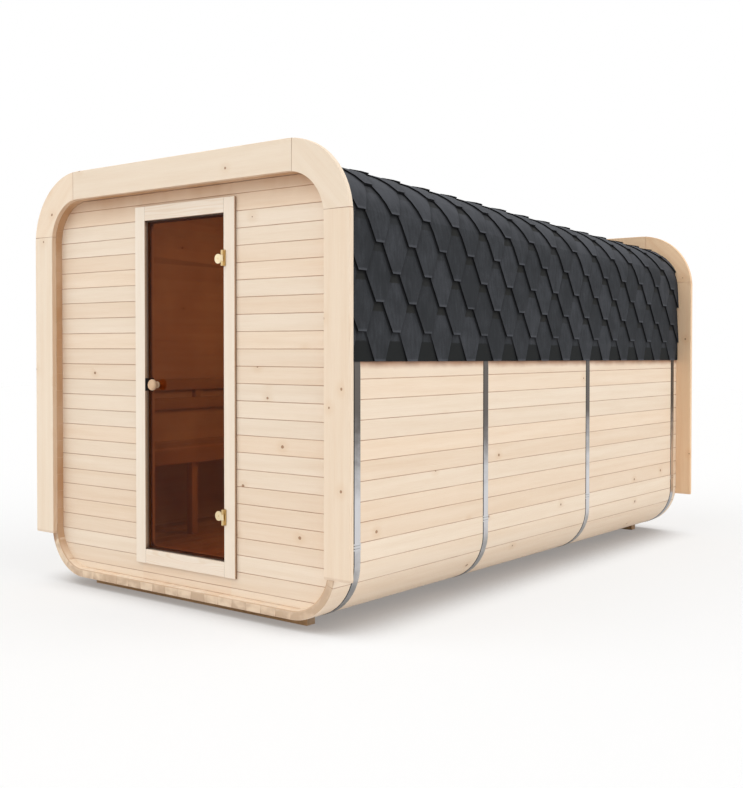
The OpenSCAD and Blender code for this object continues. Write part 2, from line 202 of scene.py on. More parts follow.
def eased_section(
    width: np.ndarray, depth: float, ease: Ease, fill: int = 0, inner: float | None = None
) -> tuple[np.ndarray, np.ndarray, np.ndarray]:
    """Works out board sections with their four long edges cut off at 45 degrees.

    The ring runs across the outer face, down one edge, back across the inner face and up the other
    edge; each corner gives two points, one on either side of the cut.

    Args:
        width: Width of each board.
        depth: Thickness of every board.
        ease: Size of the cuts on the outer face, one or a (boards, 2) pair for the low and the
            high edge.
        fill: Extra points spread evenly along each wide face.
        inner: Size of the cuts on the inner face, or None for the outer one's.

    Returns:
        Places across the board, places through it, and how much of a full seam each point is,
        from the size of its cut, all shaped (boards, points).
    """
    cut = np.broadcast_to(np.asarray(ease, float), (len(width), 2))
    low, high = cut[:, :1], cut[:, 1:]
    back = cut if inner is None else np.full_like(cut, inner)
    share = np.linspace(0.0, 1.0, fill + 2)[None, :]
    full = width[:, None]
    zero = np.zeros_like(full)
    face = low + share * (full - low - high)
    rear = back[:, :1] + share[:, ::-1] * (full - back.sum(axis=1, keepdims=True))
    across = np.hstack([face, full, full, rear, zero, zero])
    deep_low, deep_high = depth - back[:, :1], depth - back[:, 1:]
    through = np.hstack([0 * face, high, deep_high, 0 * rear + depth, deep_low, low])
    mark = [np.clip(size / FULL_SEAM, 0.0, 1.0) for size in (high, back[:, 1:], back[:, :1], low)]
    edge = np.hstack([0 * face, mark[0], mark[1], 0 * rear, mark[2], mark[3]])
    return across, through, edge


@dataclass(frozen=True)
class Boards:
    """A row of boards: their sections, and what makes each one differ.

    across, through and edge say where the points of a section are and how much of a seam they are,
    (boards, points). shift is each board's place in the wood and tone its values, (boards, 3).
    """

    across: np.ndarray
    through: np.ndarray
    edge: np.ndarray
    shift: np.ndarray
    tone: np.ndarray

    @classmethod
    def drawn(
        cls,
        draw: np.random.Generator,
        width: np.ndarray,
        depth: float,
        ease: Ease,
        fill: int = 0,
        inner: float | None = None,
    ) -> "Boards":
        """Works out a row of boards with eased edges.

        Args:
            draw: The source of random numbers.
            width: Width of each board.
            depth: Thickness of every board.
            ease: Cuts on the outer edges.
            fill: Extra points along each wide face.
            inner: Cuts on the inner edges, or None for the outer ones'.

        Returns:
            The boards.
        """
        section = eased_section(width, depth, ease, fill, inner)
        return cls(*section, *random_board(draw, len(width)))


@dataclass
class Pile:
    """Lofted solids on their way into one mesh, with the values that the finishes read.

    grain holds each point's place in its own board (along, across, through), tone three random
    values of the board, and wear how much of a seam, an end cut and painted shade the point is.
    """

    points: list[np.ndarray] = field(default_factory=list)
    faces: list[np.ndarray] = field(default_factory=list)
    grain: list[np.ndarray] = field(default_factory=list)
    tone: list[np.ndarray] = field(default_factory=list)
    wear: list[np.ndarray] = field(default_factory=list)
    count: int = 0

    def loft(
        self, rings: np.ndarray, grain: np.ndarray, tone: np.ndarray, wear: np.ndarray
    ) -> "Pile":
        """Adds closed solids, each carried through a row of rings.

        Point i of ring j is joined to point i + 1 and to the same two points of ring j + 1 by one
        quad, and the first and last rings are closed by one face each. Where a ring turns the wrong
        way round its path, which its area vector tells, every face of that solid is turned.

        Args:
            rings: Points, shaped (solids, rings, points in a ring, 3).
            grain: Places in the board, shaped as rings.
            tone: Random values of each solid, shaped (solids, 3).
            wear: Shares of seam, end cut and soil, shaped as rings.

        Returns:
            The pile itself.
        """
        solids, steps, around, _ = rings.shape
        index = np.arange(solids * steps * around).reshape(solids, steps, around) + self.count
        beside = np.roll(index, -1, axis=2)
        quads = np.stack([index[:, :-1], beside[:, :-1], beside[:, 1:], index[:, 1:]], axis=-1)
        quads = quads.reshape(solids, -1, 4)
        middle = steps // 2
        spoke = rings[:, middle] - rings[:, middle].mean(axis=1, keepdims=True)
        area = np.cross(spoke, np.roll(spoke, -1, axis=1)).sum(axis=1)
        course = rings[:, middle].mean(axis=1) - rings[:, middle - 1].mean(axis=1)
        wrong = (area * course).sum(axis=1) < 0
        first, last = index[:, 0, ::-1].copy(), index[:, -1].copy()
        for part in (quads, first, last):
            part[wrong] = part[wrong][..., ::-1]
        self.points.append(rings.reshape(-1, 3))
        self.faces += [quads.reshape(-1, 4), first, last]
        self.grain.append(grain.reshape(-1, 3))
        self.tone.append(np.repeat(tone, steps * around, axis=0))
        self.wear.append(wear.reshape(-1, 3))
        self.count += solids * steps * around
        return self

    def lay(
        self,
        boards: Boards,
        points: np.ndarray,
        place: np.ndarray,
        painted_shade: np.ndarray | float = 0.0,
        ends: float = 1.0,
    ) -> "Pile":
        """Adds a row of boards, carried along their lengths.

        Args:
            boards: Their seam marks, shifts and tones.
            points: Points, shaped (boards, stations, points of a section, 3).
            place: Places along, across and through the boards, shaped as points.
            painted_shade: How much painted shade each point gets.
            ends: How much of an end cut their first and last stations are.

        Returns:
            The pile itself.
        """
        cuts = end_cuts(points.shape[:3]) * ends
        wear = wear_of(at_stations(boards.edge, cuts.shape), cuts, painted_shade)
        return self.loft(points, place + boards.shift[:, None, None, :], boards.tone, wear)

    def piece(self, name: str, smooth_angle: float = 30.0) -> bpy.types.Object:
        """Puts everything in the pile into one mesh object.

        Args:
            name: The piece's name.
            smooth_angle: Largest angle in degrees between two faces that shade as one.

        Returns:
            The object, at the origin.
        """
        mesh = bpy.data.meshes.new(name)
        faces = [face for block in self.faces for face in block.tolist()]
        mesh.from_pydata(np.concatenate(self.points).tolist(), [], faces)
        for label, blocks in (("grain", self.grain), ("tone", self.tone), ("wear", self.wear)):
            write_vectors(mesh, label, np.concatenate(blocks))
        mesh.validate()
        smooth_below(mesh, smooth_angle)
        return in_scene(name, mesh)


def bevelled_copy(
    node: str,
    name: str,
    axis: GrainAxis,
    draw: np.random.Generator,
    ease: float = 0.0015,
    sheltered: float = 0.0,
) -> bpy.types.Object:
    """Copies a node of the frame into a piece with softened edges.

    The doubled points are merged first. The grain runs along one axis, from a random place in the
    wood, and an end cut is where the surface faces along the grain.

    Args:
        node: The node to copy.
        name: The piece's name.
        axis: The axis that the grain follows.
        draw: The source of random numbers.
        ease: Width of the rounding along the edges.
        sheltered: How much painted shade the faces get that do not look to the front or the back.

    Returns:
        The new piece.
    """
    mesh = bpy.data.objects[node].data.copy()
    mesh.name = name
    mesh.materials.clear()
    work = bmesh.new()
    work.from_mesh(mesh)
    bmesh.ops.remove_doubles(work, verts=work.verts, dist=COPY_MERGE)
    flat = math.radians(COPY_FLAT)
    bmesh.ops.dissolve_limit(work, angle_limit=flat, verts=work.verts, edges=work.edges)
    work.to_mesh(mesh)
    work.free()
    shift, tone = random_board(draw, 1)
    grain = read_vectors(mesh.vertices, "co")[:, axis.value] + shift
    write_vectors(mesh, "grain", grain)
    write_vectors(mesh, "tone", np.repeat(tone, len(grain), axis=0))
    facing = np.abs(read_vectors(mesh.polygons, "normal"))
    wear = np.zeros(facing.shape)
    wear[:, 1] = facing[:, axis.value[0]] > COPY_END
    # Painted shade on the side faces, such as the reveals of a door frame.
    wear[:, 2] = sheltered * (facing[:, 1] < COPY_ASIDE)
    write_vectors(mesh, "wear", wear, Domain.FACE)
    smooth_below(mesh, COPY_SMOOTH)
    piece = in_scene(name, mesh)
    soften = piece.modifiers.new("soft edges", "BEVEL")
    soften.width = ease
    soften.segments = 2
    soften.limit_method = "ANGLE"
    soften.angle_limit = math.radians(COPY_SHARP)
    soften.harden_normals = False
    return piece


# ---- Finishes ----


class Graph:
    """The node tree of a material or a world, with short calls for the nodes that are shared."""

    def __init__(self, owner: bpy.types.Material | bpy.types.World) -> None:
        """Empties the owner's tree."""
        owner.use_nodes = True
        self.owner = owner
        self.tree = owner.node_tree
        self.tree.nodes.clear()

    @classmethod
    def named(cls, name: str) -> "Graph":
        """Starts the tree of a new material."""
        return cls(bpy.data.materials.new(name))

    def node(
        self, kind: str, inputs: Mapping[str | int, Feed] | None = None, **settings: object
    ) -> bpy.types.Node:
        """Adds one node.

        Args:
            kind: The node's type.
            inputs: Value or socket for each named or numbered input.
            **settings: Properties of the node.

        Returns:
            The node.
        """
        made = self.tree.nodes.new(kind)
        for key, value in settings.items():
            setattr(made, key, value)
        for key, value in (inputs or {}).items():
            if isinstance(value, bpy.types.NodeSocket):
                self.tree.links.new(value, made.inputs[key])
            else:
                made.inputs[key].default_value = value
        return made

    def maths(self, operation: str, a: Feed, b: Feed = 0.0, clamp: bool = False) -> Feed:
        """One arithmetic step on two numbers."""
        return self.node(
            "ShaderNodeMath", {0: a, 1: b}, operation=operation, use_clamp=clamp
        ).outputs[0]

    def times(self, a: Feed, b: Feed) -> Feed:
        """The product of two numbers."""
        return self.maths("MULTIPLY", a, b)

    def less(self, a: Feed, b: Feed) -> Feed:
        """The first number less the second."""
        return self.maths("SUBTRACT", a, b)

    def most(self, a: Feed, b: Feed) -> Feed:
        """The larger of two numbers."""
        return self.maths("MAXIMUM", a, b)

    def total(self, *terms: tuple[Feed, float]) -> Feed:
        """The sum of the given values, each times its share."""
        result: Feed = 0.0
        for value, share in terms:
            result = self.maths("ADD", result, self.times(value, share))
        return result

    def stretch(self, vector: Feed, scale: Triple) -> Feed:
        """A vector with each of its values multiplied."""
        return self.node(
            "ShaderNodeVectorMath", {0: vector, 1: scale}, operation="MULTIPLY"
        ).outputs[0]

    def split(self, vector: Feed) -> tuple[Feed, Feed, Feed]:
        """The three values of a vector."""
        parts = self.node("ShaderNodeSeparateXYZ", {0: vector}).outputs
        return parts[0], parts[1], parts[2]

    def attribute(self, label: str) -> Feed:
        """A vector that the mesh carries."""
        return self.node("ShaderNodeAttribute", attribute_name=label).outputs["Vector"]

    def place(self) -> Feed:
        """The point's place in the object."""
        return self.node("ShaderNodeTexCoord").outputs["Object"]

    def rise(self) -> Feed:
        """How far the surface looks up: 1 on a level top, 0 on a wall, -1 underneath."""
        return self.split(self.node("ShaderNodeNewGeometry").outputs["Normal"])[2]

    def openness(self, reach: float) -> Feed:
        """How open the space within that reach of the point is, from 0 to 1."""
        near = self.node("ShaderNodeAmbientOcclusion", {"Distance": reach}, samples=8)
        return near.outputs["AO"]

    def noise(self, vector: Feed, scale: float, detail: float = 2.0, rough: float = 0.5) -> Feed:
        """Smooth noise from 0 to 1."""
        inputs = {"Vector": vector, "Scale": scale, "Detail": detail, "Roughness": rough}
        return self.node("ShaderNodeTexNoise", inputs).outputs["Fac"]

    def streaks(
        self, vector: Feed, scale: Triple, detail: float = 3.0, rough: float = 0.5
    ) -> Feed:
        """Smooth noise with its own scale along each axis."""
        return self.noise(self.stretch(vector, scale), 1.0, detail, rough)

    def ramp(
        self, value: Feed, start: float, stop: float, low: float = 0.0, high: float = 1.0
    ) -> Feed:
        """A soft step from low to high while the value goes from start to stop."""
        limits = {"From Min": start, "From Max": stop, "To Min": low, "To Max": high}
        made = self.node(
            "ShaderNodeMapRange", {"Value": value, **limits}, interpolation_type="SMOOTHSTEP"
        )
        return made.outputs[0]

    def mix(self, share: Feed, a: Feed, b: Feed, blend: str = "MIX") -> Feed:
        """Two colours blended."""
        made = self.node(
            "ShaderNodeMix", {0: share, 6: a, 7: b}, data_type="RGBA", blend_type=blend
        )
        return made.outputs[2]

    def bump(self, height: Feed, strength: float, distance: float) -> Feed:
        """A normal that follows small heights."""
        inputs = {"Height": height, "Strength": strength, "Distance": distance}
        return self.node("ShaderNodeBump", inputs).outputs[0]

    def surface(self, inputs: Mapping[str | int, Feed]) -> bpy.types.Material:
        """Ends the tree in one principled shader.

        Args:
            inputs: Value or socket for each input of the shader.

        Returns:
            The finished material.
        """
        shader = self.node("ShaderNodeBsdfPrincipled", inputs)
        self.node("ShaderNodeOutputMaterial", {0: shader.outputs[0]})
        return self.owner


@dataclass(frozen=True)
class Softwood:
    """Sawn and planed softwood with growth rings, fibres, knots, dark seams and end grain.

    The rings are a sine of the distance across the board, which a slow noise makes wander and each
    knot pushes aside. A knot is a soft disc round the middle of some cells of a stretched cell
    pattern. Where damp_edge is set, a painted shadow browns the outer face just below that height,
    the covering's lower edge, which falls by damp_slope with y. Painted shade darkens narrow gaps
    by gap_share within gap_reach; the stain colour is painted shade in recesses near the ends.
    """

    name: str
    pale: Colour = paint(248, 230, 208)
    deep: Colour = paint(237, 213, 185)
    knot: Colour = paint(158, 114, 80)
    seam: Colour = paint(152, 88, 44)
    end: Colour = paint(200, 171, 142)
    # Colour of the painted shade on recessed and overhung faces near the ends of the sauna.
    stain: Colour = paint(190, 146, 106)
    tone_swing: float = 0.035
    knot_share: float = 0.10
    knot_cell: tuple[float, float] = (0.42, 0.10)
    knot_squeeze: float = 0.85
    seam_share: float = 0.9
    roughness: float = 0.62
    damp_edge: float | None = None
    damp_slope: float = 0.0
    # Colour of the painted shade in narrow gaps.
    gap: Colour = paint(66, 42, 30)
    gap_share: float = 0.0
    gap_reach: float = 0.035
    drift: Triple = (0.8, 7.0, 7.0)
    broad: Triple = (1.3, 26.0, 26.0)
    fibre: Triple = (9.0, 420.0, 420.0)
    blotch: Triple = (0.0, 13.0, 13.0)
    ring_count: tuple[float, float] = (1500.0, 2600.0)
    ring_slant: float = 0.45

    def material(self) -> bpy.types.Material:
        """Builds the wood's material from the grain, tone and wear that the mesh carries."""
        g = Graph.named(self.name)
        grain = g.attribute("grain")
        bright, hue, kind = g.split(g.attribute("tone"))
        seam, end, painted_shade = g.split(g.attribute("wear"))
        _, across, through = g.split(grain)
        knot, halo = self._knots(g, grain)
        drift = g.streaks(grain, self.drift, 2.0)
        broad = g.streaks(grain, self.broad)
        fibre = g.streaks(grain, self.fibre, rough=0.6)
        radius = g.total((across, 1.0), (through, self.ring_slant), (drift, 0.07), (halo, 0.006))
        spacing = g.ramp(kind, 0.0, 1.0, *self.ring_count)
        rings = g.ramp(g.maths("SINE", g.times(radius, spacing)), -0.2, 1.0)
        shade = g.total((broad, 0.55), (rings, 0.22), (fibre, 0.35), (halo, 0.25))
        colour = g.mix(g.ramp(shade, 0.3, 0.85), self.pale, self.deep)
        colour = g.node(
            "ShaderNodeHueSaturation",
            {
                "Hue": g.ramp(hue, 0.0, 1.0, 0.497, 0.502),
                "Saturation": g.ramp(hue, 0.0, 1.0, 1.08, 0.92),
                "Value": g.ramp(bright, 0.0, 1.0, 1 - self.tone_swing, 1 + self.tone_swing / 3),
                "Color": colour,
            },
        ).outputs[0]
        colour = g.mix(g.times(knot, 0.85), colour, self.knot)
        blotch = g.streaks(grain, self.blotch, 2.0, 0.45)
        ends = g.mix(g.ramp(g.total((blotch, 1.0), (kind, 0.4)), 0.42, 0.88), self.deep, self.end)
        colour = g.mix(g.times(end, 0.9), colour, ends)
        # Painted shade: recessed and overhung faces near the ends of the sauna turn towards the
        # stain colour.
        colour = g.mix(self._stain(g, painted_shade, end), colour, self.stain)
        uneven = g.streaks(grain, (4.0, 1.0, 0.0))
        dirt = g.ramp(uneven, 0.3, 0.65, self.seam_share * 0.6, self.seam_share)
        colour = g.mix(g.times(seam, dirt), colour, self.seam)
        # Painted shadow below the covering's lower edge, in the seam colour.
        if self.damp_edge is not None:
            colour = g.mix(self._damp(g), colour, self.seam)
        # Painted shade: narrow gaps, where ambient occlusion finds little open space, turn towards
        # the gap colour.
        if self.gap_share:
            narrow = g.ramp(g.openness(self.gap_reach), 0.80, 0.45, 0.0, self.gap_share)
            colour = g.mix(narrow, colour, self.gap)
        height = g.total((rings, 0.4), (fibre, 0.6), (knot, -0.6))
        rough = g.total((fibre, 0.16), (knot, -0.12), (seam, 0.1))
        return g.surface(
            {
                "Base Color": colour,
                "Roughness": g.maths("ADD", rough, self.roughness - 0.06),
                "Specular IOR Level": 0.28,
                "Normal": g.bump(height, 0.22, 0.0008),
            }
        )

    def _stain(self, g: Graph, painted_shade: Feed, end: Feed) -> Feed:
        """How much painted shade a recessed or overhung place gets.

        Args:
            g: The tree to draw in.
            painted_shade: How much painted shade the mesh gives the place.
            end: How much of an end cut it is.

        Returns:
            A share that is full on upright and hanging faces close to the ends of the sauna.
        """
        _, along, _ = g.split(g.place())
        outer = g.ramp(g.maths("ABSOLUTE", along), SHADE_FROM, SHADE_FROM + SHADE_SOFT)
        steep = g.ramp(g.rise(), 0.9, 0.2, 0.1, 1.0)
        uneven = g.ramp(g.streaks(g.place(), (6.0, 6.0, 3.0)), 0.3, 0.7, 0.75, 1.0)
        share = g.times(g.times(painted_shade, outer), g.times(steep, uneven))
        return g.times(share, g.maths("SUBTRACT", 1.0, end, True))

    def _damp(self, g: Graph) -> Feed:
        """How much painted shadow the outer face gets below the covering: strongest at its edge,
        gone a little below.
        """
        side, along, height = g.split(g.place())
        uneven = g.streaks(g.place(), (0.0, 9.0, 9.0), 2.0)
        ragged = g.total((height, 1.0), (along, self.damp_slope), (uneven, 0.02))
        near = g.ramp(ragged, self.damp_edge - 0.032, self.damp_edge + 0.012, 0.0, 0.75)
        outside = g.maths("GREATER_THAN", g.maths("ABSOLUTE", side), SHADOW_FROM)
        return g.times(near, outside)

    def _knots(self, g: Graph, grain: Feed) -> tuple[Feed, Feed]:
        """Draws the knots.

        Args:
            g: The tree to draw in.
            grain: Place in the board.

        Returns:
            How much of a knot a point is, and how near it is to one.
        """
        long, wide = self.knot_cell
        spread = g.stretch(grain, (1 / long, 1 / wide, 0.0))
        cell = g.node(
            "ShaderNodeTexVoronoi", {"Vector": spread, "Scale": 1.0}, voronoi_dimensions="2D"
        )
        away = g.node(
            "ShaderNodeVectorMath", {0: spread, 1: cell.outputs["Position"]}, operation="SUBTRACT"
        ).outputs[0]
        away = g.stretch(away, (long * self.knot_squeeze, wide, 0.0))
        far = g.node("ShaderNodeVectorMath", {0: away}, operation="LENGTH").outputs["Value"]
        ragged = g.total((far, 1.0), (g.streaks(grain, (90.0, 90.0, 0.0), 2.0), 0.003))
        chosen, size, _ = g.split(cell.outputs["Color"])
        present = g.maths("GREATER_THAN", chosen, 1 - self.knot_share)
        within = g.less(ragged, g.times(size, 0.006))
        disc = g.ramp(within, 0.0062, 0.0028)
        near = g.ramp(far, 0.050, 0.0)
        return g.times(disc, present), g.times(near, present)


class Wood(Enum):
    """The woods of the sauna."""

    # The wall wood carries a painted shadow below the covering's lower edge.
    WALL = Softwood("wall spruce", damp_edge=COVER_EDGE, damp_slope=COVER_SLOPE)
    FASCIA = Softwood(
        "fascia spruce", pale=paint(249, 231, 208), deep=paint(240, 216, 188), knot_share=0.5
    )
    # Painted shade: a deeper, warmer copy of the fascia wood, for the back fascia that stands in
    # shade.
    BACK = Softwood(
        "back fascia spruce", pale=paint(252, 221, 185), deep=paint(241, 201, 160), knot_share=0.2
    )
    # The frame wood carries painted shade in its narrow gaps, along the glass and the reveals.
    FRAME = Softwood(
        "frame spruce", pale=paint(252, 239, 222), deep=paint(243, 224, 200), knot_share=0.05,
        tone_swing=0.04, gap_share=0.85,
    )
    INSIDE = Softwood(
        "inside aspen", pale=paint(232, 206, 174), deep=paint(214, 182, 146), tone_swing=0.14
    )
    BEAM = Softwood(
        "beam pine", pale=paint(214, 180, 140), deep=paint(176, 136, 96), tone_swing=0.15
    )
    KNOB = Softwood(
        "knob wood", pale=paint(236, 206, 172), deep=paint(212, 172, 134), knot_share=0.0
    )


@dataclass(frozen=True)
class Shingle:
    """Dark granule-covered shingle with a printed shadow band and near-black cut edges.

    The mesh gives the place in the course: rows above the tab's foot, tabs along from the course's
    own centres, and 1 on the starter strip. A painted shade darkens a tab close to the edges of the
    tabs that lie on it: the slanted edges are where across = waist - (waist - foot)(rise - 1), and
    the foot is where rise = 2.
    """

    name: str = "shingle"
    body: Colour = paint(42, 44, 47)
    light: Colour = paint(74, 76, 81)
    band: Colour = paint(33, 33, 30)
    starter: Colour = paint(27, 29, 29)
    # Near-black of the cut edges; the painted shade along the tab edges is mixed towards it too.
    cut: Colour = paint(12, 13, 16)
    foot_half: float = 0.115
    waist_half: float = 0.385
    pitch: float = 0.270
    row: float = 0.150
    # How much further the painted edge shade reaches on one side of each tab.
    inset: float = 0.009

    def material(self) -> bpy.types.Material:
        """Builds the shingle's material."""
        g = Graph.named(self.name)
        rise, along, starter = g.split(g.attribute("grain"))
        bright, hue, _ = g.split(g.attribute("tone"))
        cut, _, _ = g.split(g.attribute("wear"))
        grit = g.noise(g.place(), 420.0, 2.0, 0.7)
        fleck = g.noise(g.place(), 130.0, 3.0, 0.7)
        streak = g.streaks(g.place(), (14.0, 60.0, 14.0))
        cloud = g.noise(g.place(), 9.0, 3.0)
        share = g.total((grit, 0.35), (fleck, 0.35), (streak, 0.45), (cloud, 0.6), (bright, 0.30))
        # Painted highlight along the foot of each tab.
        rim = g.ramp(rise, 0.11, 0.01, 0.0, 0.6)
        # Painted light: faces that look up are lighter.
        top_light = g.ramp(g.rise(), 0.15, 0.85, 0.0, 0.55)
        pale = g.total((share, 1.0), (rim, 1.0), (top_light, 1.0))
        colour = g.mix(g.ramp(pale, 0.75, 1.75), self.body, self.light)
        ragged = g.total((rise, 1.0), (g.noise(g.place(), 60.0), 0.08))
        printed = g.ramp(ragged, 1.70, 1.76, 0.0, 0.85)
        foot_band = g.times(printed, g.less(1.0, starter))
        foot_band = g.times(foot_band, g.ramp(hue, 0.05, 0.6, 0.35, 1.0))
        colour = g.mix(foot_band, colour, self.band)
        low_band = g.times(g.ramp(ragged, 1.76, 1.70, 0.0, 0.95), starter)
        colour = g.mix(low_band, colour, self.starter)
        # Painted shade along the edges of the tabs that lie on this one.
        colour = g.mix(g.times(self._grime(g, rise, along), 0.85), colour, self.cut)
        colour = g.mix(cut, colour, self.cut)
        return g.surface(
            {
                "Base Color": colour,
                "Roughness": g.ramp(grit, 0.2, 0.8, 0.8, 0.95),
                "Specular IOR Level": 0.2,
                "Normal": g.bump(g.total((grit, 0.6), (fleck, 0.4)), 0.5, 0.0012),
            }
        )

    def _grime(self, g: Graph, rise: Feed, along: Feed) -> Feed:
        """How much painted shade a point gets from the edge of a tab that lies on it.

        Args:
            g: The tree to draw in.
            rise: Rows above the tab's foot.
            along: Tabs along from the course's centres.

        Returns:
            1 at the edge, falling soon to a faint shade that ends some centimetres from it.
        """
        whole = g.maths("FRACT", g.maths("ADD", along, 0.5))
        beside = g.less(whole, 0.5)
        across = g.maths("ABSOLUTE", beside)
        slant = self.waist_half - self.foot_half
        lean = math.atan(slant * self.pitch / self.row)
        edge = g.total((rise, -slant), (across, -1.0))
        edge = g.maths("ADD", edge, self.waist_half + slant)
        side = g.times(edge, self.pitch * math.cos(lean))
        foot = g.times(g.less(2.0, rise), self.row)
        # On this side of the tab the painted shade reaches further, by the inset.
        sheltered = g.maths("GREATER_THAN", beside, 0.0)
        side = g.less(side, g.times(sheltered, self.inset))
        near_side = g.ramp(side, 0.011, 0.002)
        near_foot = g.ramp(foot, 0.007, 0.002)
        soft_side = g.ramp(side, 0.036, 0.008, 0.0, 0.30)
        soft_foot = g.ramp(foot, 0.030, 0.005, 0.0, 0.45)
        hard = g.most(near_side, near_foot)
        return g.most(hard, g.most(soft_side, soft_foot))


@dataclass(frozen=True)
class Metal:
    """Metal with brush lines, faint stains and a rougher, duller film here and there."""

    name: str
    bright: Colour
    dull: Colour
    roughness: float
    lines: Triple = (6.0, 6.0, 900.0)

    def material(self) -> bpy.types.Material:
        """Builds the metal's material on the object's own coordinates."""
        g = Graph.named(self.name)
        place = g.place()
        brush = g.streaks(place, self.lines, 2.0)
        stain = g.noise(place, 9.0, 4.0, 0.6)
        film = g.ramp(g.total((brush, 0.35), (stain, 0.8)), 0.4, 0.8)
        return g.surface(
            {
                "Base Color": g.mix(film, self.bright, self.dull),
                "Metallic": 1.0,
                "Roughness": g.ramp(film, 0.0, 1.0, self.roughness, self.roughness + 0.16),
                "Normal": g.bump(brush, 0.08, 0.0004),
            }
        )


@dataclass(frozen=True)
class BandSteel:
    """Steel strap, dark and rougher near the roof, brighter lower down and grey at the foot.

    The colour by height is a painted reflection, and the dark edges are painted shade.
    """

    name: str = "band steel"
    # Colours of the painted reflection: bright lower down, dull at the foot and dark near the roof.
    bright: Colour = paint(222, 222, 224)
    dull: Colour = paint(130, 134, 138)
    dark: Colour = paint(106, 101, 97)
    # Colour of the painted shade along the strap's edges and in the seal's notches.
    edge: Colour = paint(40, 38, 38)

    def material(self) -> bpy.types.Material:
        """Builds the strap's material from its height and the wear that the mesh carries.

        The height sets a painted reflection and the wear a painted shade along the edges.
        """
        g = Graph.named(self.name)
        place = g.place()
        _, _, height = g.split(place)
        rim, _, _ = g.split(g.attribute("wear"))
        brush = g.streaks(place, (500.0, 500.0, 4.0), 2.0)
        stain = g.streaks(place, (5.0, 5.0, 7.0), 4.0, 0.6)
        # Painted reflection by height: dark near the roof, bright lower down, dull grey at the
        # foot.
        level = g.total((height, 1.0), (stain, 0.5), (brush, 0.06))
        film = g.ramp(level, 0.80, 1.30)
        low = g.ramp(level, 0.70, 0.42)
        colour = g.mix(film, self.bright, self.dark)
        colour = g.mix(g.times(low, 0.8), colour, self.dull)
        # Painted shade along the edges.
        colour = g.mix(rim, colour, self.edge)
        return g.surface(
            {
                "Base Color": colour,
                "Metallic": 1.0,
                "Roughness": g.ramp(g.maths("ADD", film, rim), 0.0, 1.0, 0.32, 0.55),
                "Normal": g.bump(brush, 0.08, 0.0004),
            }
        )


@dataclass(frozen=True)
class BronzeGlass:
    """Bronze-tinted safety glass with a faint uneven film."""

    name: str = "bronze glass"
    clear: Colour = (0.52, 0.24, 0.10, 1.0)
    filmy: Colour = (0.46, 0.20, 0.08, 1.0)
    shine: Colour = (0.15, 0.10, 0.08, 1.0)

    def material(self) -> bpy.types.Material:
        """Builds the glass's material."""
        g = Graph.named(self.name)
        film = g.noise(g.place(), 3.5, 3.0)
        return g.surface(
            {
                "Base Color": g.mix(g.ramp(film, 0.35, 0.7), self.clear, self.filmy),
                "Transmission Weight": 1.0,
                "IOR": 1.25,
                "Specular IOR Level": 0.35,
                "Specular Tint": self.shine,
                "Roughness": 0.0,
            }
        )


@dataclass(frozen=True)
class MouldedPlastic:
    """Black moulded plastic with a fine grain."""

    name: str = "catch plastic"
    body: Colour = paint(28, 28, 30)
    worn: Colour = paint(52, 52, 54)

    def material(self) -> bpy.types.Material:
        """Builds the plastic's material."""
        g = Graph.named(self.name)
        grain = g.noise(g.place(), 900.0, 2.0)
        worn = g.noise(g.place(), 40.0, 3.0)
        return g.surface(
            {
                "Base Color": g.mix(g.ramp(worn, 0.5, 0.8), self.body, self.worn),
                "Roughness": g.ramp(grain, 0.2, 0.8, 0.42, 0.58),
                "Normal": g.bump(grain, 0.15, 0.0003),
            }
        )


def dress(
    piece: bpy.types.Object,
    material: bpy.types.Material,
    slot: str,
    node: str | None = None,
    body: str = "cabin",
) -> None:
    """Gives a new piece its material and the body it moves with, and logs its slot in the record.

    Args:
        piece: The piece.
        material: Its finish.
        slot: The record's material slot.
        node: The node that it stands for, or None.
        body: The body it rides on.
    """
    if node is not None:
        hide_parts(node)
    piece.data.materials.clear()
    piece.data.materials.append(material)
    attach(piece, body)
    LOG.info("%s rides on the %s in %s", piece.name, body, slot)


def dress_piles(
    piles: Mapping[str, Pile], word: str, new: str, material: bpy.types.Material, slot: str
) -> None:
    """Makes dressed pieces of piles.

    Args:
        piles: The pile that stands for each node.
        word: Part of the nodes' names.
        new: What the pieces' names have in its place.
        material: Their finish.
        slot: Their slot in the record.
    """
    for node, pile in piles.items():
        dress(pile.piece(node.replace(word, new)), material, slot, node)


def refinish(node: str, material: bpy.types.Material) -> None:
    """Gives a node of the frame, whose shape stays, a better material."""
    mesh = bpy.data.objects[node].data
    if not mesh.materials:
        mesh.materials.append(material)
    for index in range(len(mesh.materials)):
        mesh.materials[index] = material


# ---- Shell ----


@dataclass(frozen=True)
class Roofline:
    """How the roof falls: a line at a given height over the front frame, followed to any y."""

    front: float
    height: float
    slope: float

    def at(self, height: np.ndarray | float, y: np.ndarray | float) -> np.ndarray:
        """Height above the ground of a roof line.

        The depth below the frame's top grows by 1 / cos of the tilt, because the roof is square to
        its own slope, and the line falls by the slope times the distance from the front.

        Args:
            height: The line's height, as drawn at the front frame.
            y: Where to measure.

        Returns:
            The height there.
        """
        stretch = math.sqrt(1 + self.slope**2)
        return self.height - (self.height - height) * stretch - self.slope * (y - self.front)

    def meets(self, height: float, level: float) -> float:
        """Where along the sauna the line of that height comes down to a level."""
        return self.front + (float(self.at(height, self.front)) - level) / self.slope


